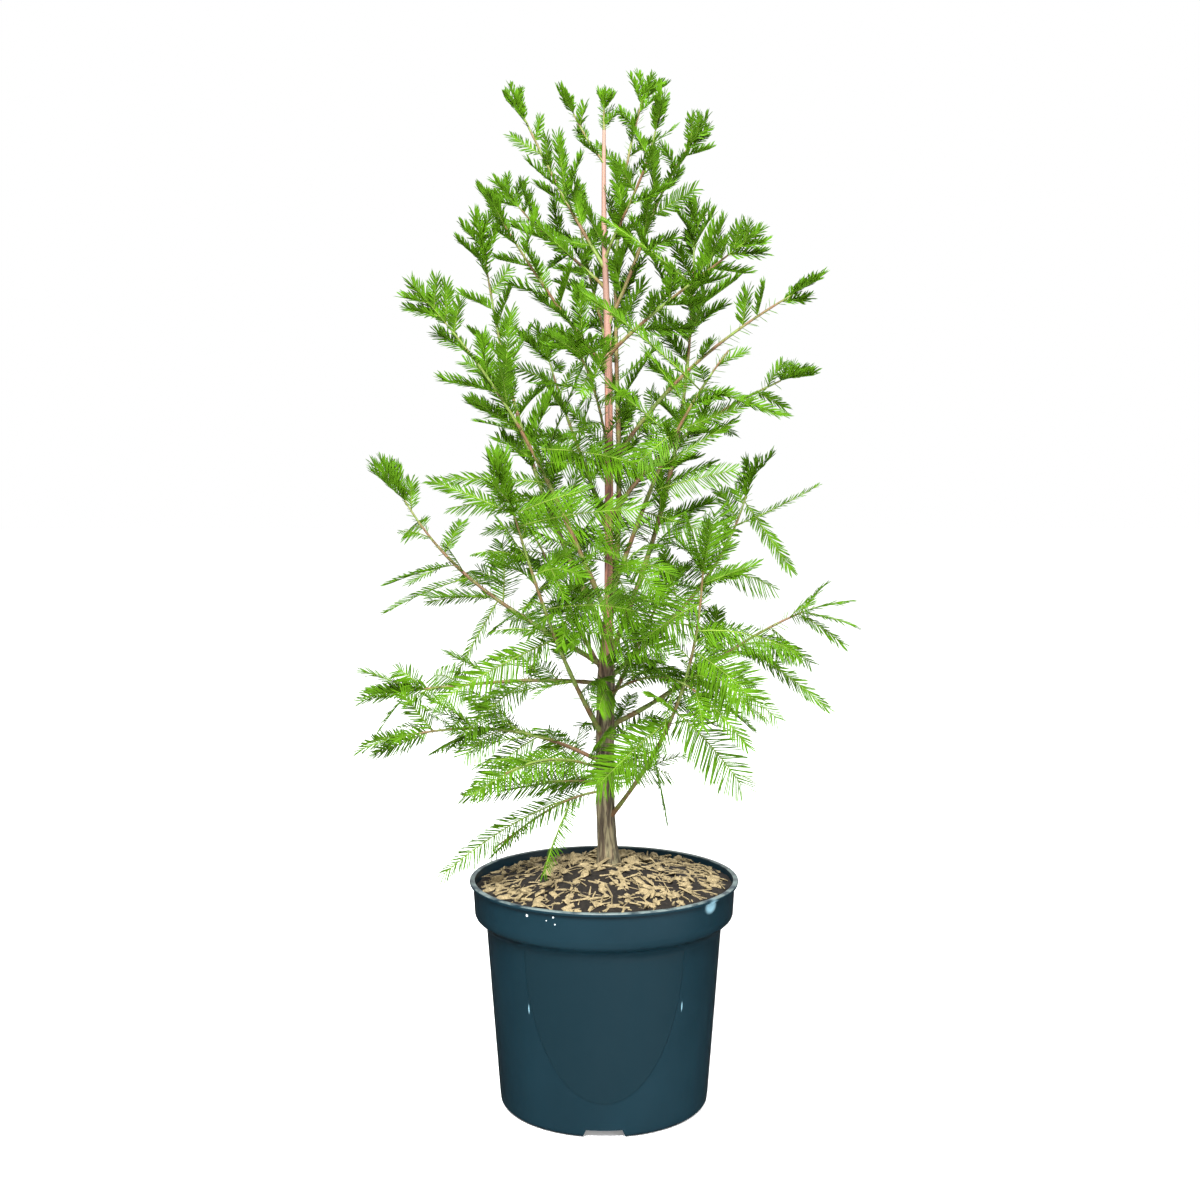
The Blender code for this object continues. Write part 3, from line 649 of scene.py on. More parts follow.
def raise_panel(pot, relief):
    """Moves the wall out inside the panel's edge and writes where the panel is."""
    slope = (NECK_RADIUS - BASE_RADIUS) / (NECK_HEIGHT - BASE_CORNER)
    panel = np.zeros(len(pot.data.vertices))
    for vertex in pot.data.vertices:
        radius = vertex.co.xy.length
        wall = BASE_RADIUS + slope * (vertex.co.z - BASE_CORNER)
        if not (BASE_CORNER < vertex.co.z < NECK_HEIGHT and radius > wall - WALL / 2):
            continue
        inwards = panel_depth(vertex.co)
        rise = clamped(inwards / PANEL_STEP + 0.5)
        rise = rise * rise * (3 - 2 * rise)
        fade = clamped((NECK_HEIGHT - vertex.co.z) / PANEL_FADE)
        bead = math.exp(-((inwards / PANEL_BEAD) ** 2))
        lift = relief * fade * (0.7 * rise + 0.5 * bead)
        grow = wall / radius * (1 + lift / wall)
        vertex.co.x *= grow
        vertex.co.y *= grow
        panel[vertex.index] = min(1.0, rise * 0.8 + bead * 0.9) * fade
    set_attribute(pot, "panel", panel)


def channel_cutter(number):
    """The wedge that cuts one drainage channel, made from a cube whose top is drawn in."""
    deselect()
    outer, inner, below = BASE_RADIUS + 0.03, CHANNEL_INNER_END, 0.004
    middle = ((outer + inner) / 2, 0, (CHANNEL_HEIGHT - below) / 2)
    size = (outer - inner, CHANNEL_WIDTH, CHANNEL_HEIGHT + below)
    bpy.ops.mesh.primitive_cube_add(size=1, location=middle, scale=size)
    obj = named(f"channel_{number}")
    bpy.ops.object.transform_apply()
    select_faces(obj, lambda centre, normal: normal.z > 0.9)
    drawn_in = (1, CHANNEL_TOP_WIDTH / CHANNEL_WIDTH, 1)
    bpy.ops.transform.resize(value=drawn_in, center_override=middle)
    bpy.ops.object.mode_set(mode="OBJECT")
    obj.rotation_euler.z = math.radians(-90 + 360 / CHANNELS * number)
    bpy.ops.object.transform_apply()
    return obj


def cut_channels(pot):
    cutters = join("channels", [channel_cutter(i) for i in range(CHANNELS)])
    pick(pot)
    cut = pot.modifiers.new("channels", "BOOLEAN")
    cut.operation, cut.solver, cut.object = "DIFFERENCE", "EXACT", cutters
    bpy.ops.object.modifier_apply(modifier=cut.name)
    bpy.data.objects.remove(cutters)


def make_pot(settings):
    collar = RIM_RADIUS - LIP_OVERHANG
    lip = [
        (RIM_RADIUS - 0.0004, POT_HEIGHT - LIP_HEIGHT + 0.0003),
        *arc((RIM_RADIUS - LIP_ROUND, POT_HEIGHT - LIP_ROUND), LIP_ROUND, 0, 90, 5),
        (collar - 0.0010, POT_HEIGHT),
        *arc((collar - WALL + MOUTH_ROUND, POT_HEIGHT - MOUTH_ROUND), MOUTH_ROUND, 90, 180, 3),
    ]
    inside = [
        (collar - COLLAR_TAPER - WALL, COLLAR_BOTTOM),
        (NECK_RADIUS - WALL, NECK_HEIGHT),
        (BASE_RADIUS - WALL, FLOOR),
    ]
    underside = [(0.6 * BASE_RADIUS, 0.0)]
    pot = lathe("nursery_pot", underside + outer_profile(POT_ROW) + lip + inside, settings.sides)
    pick(pot)
    select_faces(pot, near_panel_edge)
    bpy.ops.mesh.subdivide(number_cuts=3, smoothness=0.0)
    bpy.ops.object.mode_set(mode="OBJECT")
    raise_panel(pot, settings.relief)
    cut_channels(pot)
    bpy.ops.object.shade_smooth_by_angle(angle=math.radians(40))
    finish_piece(pot, "pot", ["pot"], plastic_finish(settings))


# ---------------------------------------------------------------- mulch


def soil_height(radius):
    """The crowned top of the fill, flat where the trunk stands."""
    edge = RIM_RADIUS - LIP_OVERHANG
    away = max(0.0, (radius - SOIL_SEAT_RADIUS) / (edge - SOIL_SEAT_RADIUS))
    return SOIL_TOP - (SOIL_TOP - SOIL_EDGE) * away**1.3


def heap(x, y):
    """How far the mulch is heaped over the fill: most round the trunk, and to the right and the front."""
    near = math.exp(-((math.hypot(x, y) / HEAP_SPREAD) ** 2))
    side = (0.7 * x - 0.5 * y) / RIM_RADIUS
    return HEAP + HEAP_MIDDLE * near + HEAP_SLANT * max(-1.0, min(1.0, side))


def soil_relief(x, y):
    """Lumps of the compost, gone where the trunk stands."""
    calm = clamped((math.hypot(x, y) - SOIL_SEAT_RADIUS) / 0.012)
    lumps = sum(noise.noise((x * count, y * count, at)) * height for count, height, at in LUMPS)
    return (lumps + heap(x, y) - 0.0012) * calm


def make_compost(settings):
    gap = WALL + SOIL_GAP
    side = [(radius - gap, height) for radius, height in outer_profile(0.03) if height > FLOOR + 0.001]
    side = [point for point in side if point[1] < SOIL_EDGE - 0.001]
    edge = side[-1][0] + COLLAR_TAPER * 0.6
    top = [edge + (0.004 - edge) * i / SOIL_RINGS for i in range(SOIL_RINGS + 1)]
    profile = [(side[0][0] - 0.002, FLOOR + SOIL_GAP), *side]
    compost = lathe("compost", profile + [(radius, soil_height(radius)) for radius in top], SOIL_SIDES)
    for vertex in compost.data.vertices:
        if vertex.co.z > SOIL_EDGE - 0.0005:
            vertex.co.z += soil_relief(vertex.co.x, vertex.co.y)
    smooth(compost, 60)
    finish_piece(compost, "soil", ["soil"], compost_finish(settings))


def chip_models():
    """A few torn chips, each modelled from a cube one unit long."""
    made = []
    for tip, bend, shear in ((0.35, 0.18, 0.10), (0.75, -0.10, 0.20), (0.12, 0.25, -0.15)):
        deselect()
        bpy.ops.mesh.primitive_cube_add(size=1, location=(0, 0, 0))
        obj = named("chip")
        select_faces(obj, lambda centre, normal: normal.x > 0.9)
        bpy.ops.transform.resize(value=(1, tip, 0.6), center_override=(0.5, shear, 0))
        select_faces(obj, lambda centre, normal: normal.x < -0.9)
        bpy.ops.transform.resize(value=(1, 0.7, 0.7), center_override=(-0.5, -shear, 0))
        bpy.ops.mesh.select_all(action="SELECT")
        bpy.ops.mesh.bisect(plane_co=(0.07, 0, 0), plane_no=(1, 0, 0))
        bpy.ops.transform.translate(value=(0, bend, 0.1))
        bpy.ops.object.mode_set(mode="OBJECT")
        made.append(arrays_of(obj))
    return made


def bark_model():
    """A crumb of bark: a plate with seven sides and a raised back."""
    deselect()
    bpy.ops.mesh.primitive_cylinder_add(vertices=7, radius=0.5, depth=0.5, location=(0, 0, 0))
    obj = named("crumb")
    select_faces(obj, lambda centre, normal: normal.z > 0.9)
    bpy.ops.transform.resize(value=(0.62, 0.55, 1), center_override=(0.06, 0.03, 0.25))
    bpy.ops.object.mode_set(mode="OBJECT")
    return arrays_of(obj)


class ChipKind(NamedTuple):
    """One kind of chip: how many of all, its model, its size from and to, and its finishes."""

    portion: float
    model: int
    length: tuple
    width: tuple
    thickness: tuple
    looks: tuple


STRAW, CREAM, TAN, BARK, DARK_BARK = range(5)
CHIPS = (
    ChipKind(0.28, 0, (0.008, 0.024), (0.0016, 0.0040), (0.0010, 0.0022), (STRAW, CREAM, CREAM, TAN)),
    ChipKind(0.16, 1, (0.006, 0.015), (0.0026, 0.0060), (0.0012, 0.0024), (STRAW, CREAM, CREAM, TAN)),
    ChipKind(0.02, 1, (0.020, 0.034), (0.0040, 0.0075), (0.0016, 0.0030), (CREAM, CREAM, STRAW)),
    ChipKind(0.24, 2, (0.010, 0.030), (0.0009, 0.0020), (0.0007, 0.0012), (STRAW, CREAM, TAN, TAN)),
    ChipKind(0.12, 1, (0.003, 0.008), (0.0010, 0.0026), (0.0008, 0.0014), (STRAW, CREAM, CREAM, BARK)),
    ChipKind(0.17, 3, (0.006, 0.018), (0.0045, 0.0110), (0.0025, 0.0060), (BARK, BARK, DARK_BARK)),
)
CHIPS_AT_TRUNK = 0.12  # how many of all lie in a ring at the foot of the trunk
CHIPS_RING = (0.010, 0.040)
CHIP_LEAN = 0.50  # spread of the turn about a chip's length, in radians
CHIP_PITCH = 0.20  # and about its width
PILE_HEIGHT = 0.005
PILE_SPREAD = 0.030


def turned(points, first, second, angle):
    """Points turned from one axis towards another."""
    spin = np.eye(3)
    spin[first, first] = spin[second, second] = math.cos(angle)
    spin[first, second], spin[second, first] = math.sin(angle), -math.sin(angle)
    return points @ spin


def chip_points(points, kind, rng):
    """The corners of one chip where it lies."""
    size = np.array([rng.uniform(*side) for side in (kind.length, kind.width, kind.thickness)])
    limit = RIM_RADIUS - LIP_OVERHANG - WALL - 0.0035 - size[0] * 0.45
    at_trunk = rng.random() < CHIPS_AT_TRUNK
    radius = rng.uniform(*CHIPS_RING) if at_trunk else math.sqrt(rng.uniform(0.0105**2, limit**2))
    angle = rng.uniform(0, 2 * math.pi)
    x, y = radius * math.cos(angle), radius * math.sin(angle)
    turn, lean, pitch = rng.uniform(0, math.pi), rng.normal(0, CHIP_LEAN), rng.normal(0, CHIP_PITCH)
    made = points * size + rng.normal(0, 1, points.shape) * size * 0.05
    made = turned(turned(turned(made, 2, 0, pitch), 1, 2, lean), 0, 1, turn)
    slope = (soil_height(radius + 0.003) - soil_height(radius - 0.003)) / 0.006
    lift = (made[:, 0] * math.cos(angle) + made[:, 1] * math.sin(angle)) * slope
    piled = PILE_HEIGHT * rng.random() * math.exp(-((radius / PILE_SPREAD) ** 2))
    rest = soil_height(radius) + soil_relief(x, y) + size[2] * rng.uniform(0.1, 0.9) + piled
    made = made + np.array([x, y, rest])
    made[:, 2] += lift
    return made


def make_chips(settings):
    rng = np.random.default_rng(SEED)
    models = [*chip_models(), bark_model()]
    corners, triangles, tones = [], [], []
    total = 0
    for kind in CHIPS:
        points, faces = models[kind.model]
        for _ in range(round(settings.chips * kind.portion)):
            corners.append(chip_points(points, kind, rng))
            triangles.append(faces + total)
            tones.append(np.full(len(faces), kind.looks[rng.integers(len(kind.looks))]))
            total += len(points)
    arrays = (np.concatenate(rows) for rows in (corners, triangles, tones))
    finish_piece(
        mesh_object("wood_chips", *arrays, flat=True),
        "soil",
        [],
        wood_finish("chip_straw", settings.straw, 0.45),
        wood_finish("chip_cream", settings.cream, 0.25),
        wood_finish("chip_tan", shaded(settings.straw, 0.62), 0.4),
        wood_finish("chip_bark", settings.brown, 0.5),
        wood_finish("chip_dark", shaded(settings.brown, 0.35), 0.5),
    )


# ---------------------------------------------------------------- trunk and limbs


def trunk_line(steps=2):
    """(point, radius) rings of the trunk, on a smooth line through its stations."""
    rows = [Vector(row) for row in TRUNK]
    rows = [rows[0], *rows, rows[-1]]
    rings = []
    for before, start, end, after in zip(rows, rows[1:], rows[2:], rows[3:]):
        for i in range(steps):
            t = i / steps
            rings.append(
                0.5
                * (
                    2 * start
                    + (end - before) * t
                    + (2 * before - 5 * start + 4 * end - after) * t**2
                    + (3 * start - before - 3 * end + after) * t**3
                )
            )
    rings.append(rows[-1])
    return [(Vector((x, y, z)), radius) for z, x, y, radius in rings]


TRUNK_RINGS = trunk_line()
TRUNK_FOOT, TRUNK_TIP = TRUNK[0][0], TRUNK[-1][0]
FINE_TOP = 0.500  # below this the trunk's rings lie close enough to carry the furrows
FINE_ROW = 0.0014
COARSE_ROW = 0.0035
LIMB_STEPS = 40
LIMB_COLLAR = 0.0012  # how much thicker a limb is where it leaves the trunk


def trunk_at(height):
    """The trunk's axis and radius at a height."""
    heights = [point.z for point, radius in TRUNK_RINGS]
    x = np.interp(height, heights, [point.x for point, radius in TRUNK_RINGS])
    y = np.interp(height, heights, [point.y for point, radius in TRUNK_RINGS])
    radius = np.interp(height, heights, [radius for point, radius in TRUNK_RINGS])
    return Vector((x, y, height)), float(radius)


def trunk_beside(height):
    """The same for a point that may be lower or higher than the trunk."""
    return trunk_at(min(max(height, TRUNK_FOOT), TRUNK_TIP))


def limb_line(limb, steps=LIMB_STEPS):
    """Points from the trunk's axis to the tip of the limb."""
    base = trunk_at(limb.height)[0]
    azimuth = math.radians(limb.azimuth)
    out = Vector((math.cos(azimuth), math.sin(azimuth), 0.0))
    tip = base + out * limb.reach + UP * limb.rise
    pull = LIMB_PULL * (tip - base).length
    leave, arrive = math.radians(limb.leave), math.radians(limb.arrive)
    first = base + pull * (out * math.cos(leave) + UP * math.sin(leave))
    last = tip - pull * (out * math.cos(arrive) + UP * math.sin(arrive))
    return interpolate_bezier(base, first, last, tip, steps + 1)


def limb_radius(limb, share_on):
    return STEM_TIP_RADIUS + (limb.radius - STEM_TIP_RADIUS) * (1 - share_on) ** 0.8


def along(points, share_on):
    """The point at a share of the way, and the direction there."""
    place_on = share_on * (len(points) - 1)
    i = min(int(place_on), len(points) - 2)
    step = points[i + 1] - points[i]
    return points[i] + step * (place_on - i), step.normalized()


def across(direction):
    """Two directions square to this one: a level one, and the one nearest to up."""
    side = direction.cross(UP)
    if side.length < 0.05:
        side = Vector((0.0, -1.0, 0.0)).cross(direction)
    side.normalize()
    return side, side.cross(direction).normalized()


def rods(name, lines, resolution):
    """One mesh of tapering rods with closed ends; lines are lists of (point, radius)."""
    curve = bpy.data.curves.new(name, "CURVE")
    curve.dimensions = "3D"
    curve.bevel_depth, curve.bevel_resolution, curve.use_fill_caps = 1.0, resolution, True
    for line in lines:
        spline = curve.splines.new("POLY")
        spline.points.add(len(line) - 1)
        for knot, (point, radius) in zip(spline.points, line):
            knot.co, knot.radius = (*point, 1.0), radius
    obj = bpy.data.objects.new(name, curve)
    bpy.context.scene.collection.objects.link(obj)
    pick(obj)
    bpy.ops.object.convert(target="MESH")
    obj = named(name)
    edit("VERT")
    bpy.ops.mesh.select_all(action="SELECT")
    bpy.ops.mesh.remove_doubles(threshold=0.00001)
    bpy.ops.mesh.normals_make_consistent(inside=False)
    bpy.ops.object.mode_set(mode="OBJECT")
    return obj


def bark_relief(angle, height, radius):
    """How deep the bark is furrowed, 0 on a ridge and 1 in a groove: long strips that weave."""
    around = Vector((math.cos(angle), math.sin(angle), 0.0))
    sway = noise.noise(around * 1.5 + UP * (height * 22)) * 0.35
    around = Vector((math.cos(angle + sway), math.sin(angle + sway), 0.0))
    coarse, fine = (
        noise.noise(around * (radius * per_metre) + UP * (height * up_metre + start))
        for per_metre, up_metre, start in BARK_STRIPS
    )
    ridge = abs(coarse) * 2.2 + abs(fine) * 0.9
    return max(0.0, 1 - ridge) ** 1.6


def make_trunk(settings):
    rows = (np.arange(TRUNK_FOOT, FINE_TOP, FINE_ROW), np.arange(FINE_TOP, TRUNK_TIP - 0.001, COARSE_ROW))
    line = [trunk_at(height) for height in (*rows[0], *rows[1], TRUNK_TIP)]
    trunk = rods("trunk_bark", [line], 46)
    furrows = np.zeros(len(trunk.data.vertices))
    for vertex in trunk.data.vertices:
        height = vertex.co.z
        axis, radius = trunk_beside(height)
        side = vertex.co - axis
        side.z = 0.0
        angle = math.atan2(side.y, side.x)
        low = max(0.0, 1 - (height - TRUNK_FOOT) / FLARE_HEIGHT)
        lobe = 1 + LOBE_DEPTH * math.cos(FLARE_LOBES * angle)
        old = 1 - clamped((height - FURROWED[0]) / (FURROWED[1] - FURROWED[0]))
        furrow = bark_relief(angle, height, radius)
        depth = settings.furrow * (0.12 + 0.88 * old) * min(1.0, radius / 0.006)
        swell = FLARE * low**2 * lobe + 0.35 * settings.furrow / radius * old
        vertex.co += side * (swell - furrow * depth / radius)
        furrows[vertex.index] = furrow * (0.25 + 0.75 * old)
        if height < TRUNK_FOOT + 0.0004:
            vertex.co.z = TRUNK_FOOT
    set_attribute(trunk, "furrow", furrows)
    smooth(trunk, 50)
    finish_piece(trunk, "trunk", ["trunk"], trunk_finish(settings))


def make_limbs(settings):
    lines = []
    for limb in LIMBS:
        points = limb_line(limb)
        rng = random.Random(limb.name)
        collar = 0.0 if limb.leave == 90 else LIMB_COLLAR
        line = []
        for i, point in enumerate(points):
            uneven = 1 + 0.10 * rng.uniform(-1, 1)
            radius = limb_radius(limb, i / (len(points) - 1)) * uneven
            line.append((point, radius + collar * max(0.0, 1 - i / 2.5)))
        lines.append(line)
    limbs = rods("limb_bark", lines, 2)
    per_limb = len(limbs.data.polygons) // len(LIMBS)
    for face in limbs.data.polygons:
        limb = LIMBS[min(len(LIMBS) - 1, face.index // per_limb)]
        reach = face.center.xy.length
        young = face.center.z > FEATHER_TOP or (reach > 0.11 and limb.bare == 0)
        face.material_index = 1 if young and limb.height > 0.44 else 2 if limb.bare == 0 else 0
    smooth(limbs, 60)
    finish_piece(
        limbs,
        "boughs",
        [f"bough_{limb.name}" for limb in LIMBS if limb.bare],
        limb_finish("bough_bark", settings.limb, settings.green),
        limb_finish("shoot_bark", shaded(settings.tip, 0.45), settings.limb),
        limb_finish("twig_bark", settings.green, settings.limb),
    )


# ---------------------------------------------------------------- foliage


SHADE, MIDDLE, FRESH, LIME, EMERALD, OLIVE = range(6)


class Style(NamedTuple):
    """How the needles of a spray stand."""

    angles: tuple  # from the rib, at its foot and at its tip, in degrees
    lift: tuple  # of the rows above or below the blade, in degrees, from and to
    stray: float  # how far single needles leave that, in degrees
    foot: float  # length of the first needles, as a share of the longest
    tip: float  # length of the last ones
    rows: int
    sag: float  # how far a needle's tip hangs, as a share of its length
    size: float  # of the longest needles, as a share of the usual length
    width: float  # of a needle, as a share of the usual one
    crowd: float  # distance between needles, as a share of the usual one


BROAD = Style((66, 54), (-14, 6), 4, 0.66, 0.56, 2, 0.10, 1.90, 1.22, 0.80)
FEATHER = Style((64, 48), (-24, 2), 4, 0.60, 0.55, 2, 0.14, 1.30, 1.20, 0.92)
PLUME = Style((58, 36), (-6, 24), 7, 0.62, 0.76, 2, 0.04, 0.95, 1.35, 0.82)
BRUSH = Style((58, 32), (6, 36), 10, 0.74, 0.98, 3, -0.02, 0.88, 1.50, 0.78)
THIN = Style((46, 30), (-50, 50), 14, 0.60, 0.60, 2, 0.10, 0.60, 1.00, 1.15)
STEM = Style((62, 50), (-20, 20), 80, 0.80, 0.80, 2, 0.10, 0.70, 0.60, 2.60)

STEM_PIECES = 5  # ribs that carry the few needles on a limb's own bark
STALK = 0.05  # the part of a rib without needles
WIDEST_AT = 0.45  # where on the rib its longest needles stand
CLOSING_FROM = 0.82  # where the needles begin to close up towards the tip
TIP_CLOSING = 0.30
THIRD_ROW_LIFT = 80
ODD_NEEDLES = 0.06  # those of another green
NEEDLE_THICKNESS = 0.24  # as a share of the needle's width
NEEDLE_WAIST = ((0.0, 0.32), (0.76, 0.5))  # how far along, and half the width there
RIB_STEPS = 8
RIB_RADIUS = (0.00085, 0.00035)  # at the foot and at the tip of a rib
TIP_SHARE = 0.62  # a tip spray's length, as a share of the limb's longest
TIP_FAN = ((0, 1.0), (40, 0.75), (-36, 0.85))  # turn in degrees, and share of the tip spray
TIP_BRUSHES = 4
FEATHERED_SPACING = 6.0  # between the side sprays of a limb that is a feather itself
FACING_SHARE = 0.75  # sprays whose top shows from the front
SIDE_ATTEMPTS = 6
STEEPEST_FALL = -0.55
BRANCHING_SIZE = 0.070  # sprays longer than this may have branches
BRANCHING_SHARE = 0.45


class Layer(NamedTuple):
    """How the sprays stand in one layer of the crown."""

    top: float  # height where it ends
    spacing: float  # distance between two sprays, as a share of the usual one
    longest: float
    opening: tuple  # from the stem, in degrees


FEATHER_TOP = 0.60
BRUSH_TOP = 0.80
LAYERS = (
    Layer(FEATHER_TOP, 1.60, 0.110, (42, 66)),
    Layer(BRUSH_TOP, 1.45, 0.068, (32, 56)),
    Layer(math.inf, 1.14, 0.052, (32, 56)),
)


class Spray(NamedTuple):
    """A rib with needles: root, first direction, length, sag, sideways curl, blade's turn and looks."""

    root: Vector
    ahead: Vector
    length: float
    droop: float
    curl: float
    roll: float
    needle: float
    style: Style
    tones: tuple

    def rib(self, steps):
        """Points along the rib, the directions there, and the blade's two square directions."""
        t = np.asarray(steps, float)[:, None]
        side, upright = (np.array(v) for v in across(self.ahead))
        bend = side * self.curl - np.array(UP) * self.droop
        ahead = np.array(self.ahead)
        points = np.array(self.root) + self.length * (ahead * t + bend * t * t)
        forward = ahead + 2 * bend * t
        forward /= np.linalg.norm(forward, axis=1, keepdims=True)
        wide = side * math.cos(self.roll) + upright * math.sin(self.roll)
        wide = wide - forward * (forward @ wide)[:, None]
        wide /= np.linalg.norm(wide, axis=1, keepdims=True)
        top = np.cross(wide, forward)
        top *= np.where(top[:, 2:] < 0, -1, 1)
        return points, forward, wide, top


def facing(spray):
    """The spray with its blade turned so that the top shows from the front."""
    other = spray._replace(roll=-spray.roll)
    return min(spray, other, key=lambda one: one.rib([0.5])[3][0][1])


class Shoot(NamedTuple):
    """A long spray that shows: where it leaves its limb, where it points, and its looks."""

    limb: str
    share: float  # of the way along the limb
    azimuth: float  # these two in degrees, as for a limb
    elevation: float
    length: float
    droop: float
    style: Style
    tones: tuple
    roll: float = 52  # the blade's turn, in degrees


BRIGHT = (EMERALD, EMERALD, EMERALD)
GREEN = (MIDDLE, FRESH, EMERALD)
YELLOW = (FRESH, LIME, LIME)
MIXED = (MIDDLE, FRESH, LIME)
DARK = (SHADE, SHADE, MIDDLE)
PLAIN = (SHADE, MIDDLE, MIDDLE)
DULL = (OLIVE, OLIVE, MIDDLE)
# Draws below which a spray gets these greens: deep in the crown or outside, low or high. The darker greens
# deep in the crown are painted shade.
EMERALD_TOP = 0.56
DEEP_LOW = 0.055  # how far out from the trunk the deep part of the crown reaches
DEEP_HIGH = 0.030
DEEP_BELOW = ((0.40, DARK), (0.70, PLAIN), (2, DULL))
OUTER_BELOW = (
    (0.18, BRIGHT), (0.30, GREEN), (0.42, MIXED), (0.62, (SHADE, MIDDLE, FRESH)), (0.84, DARK), (2, DULL)
)
DEEP_ABOVE = ((0.38, (OLIVE, MIDDLE, FRESH)), (0.70, DARK), (2, MIXED))
OUTER_ABOVE = (
    (0.40, (OLIVE, FRESH, LIME)), (0.60, (SHADE, MIDDLE, LIME)), (0.80, (OLIVE, MIDDLE, LIME)), (2, YELLOW)
)

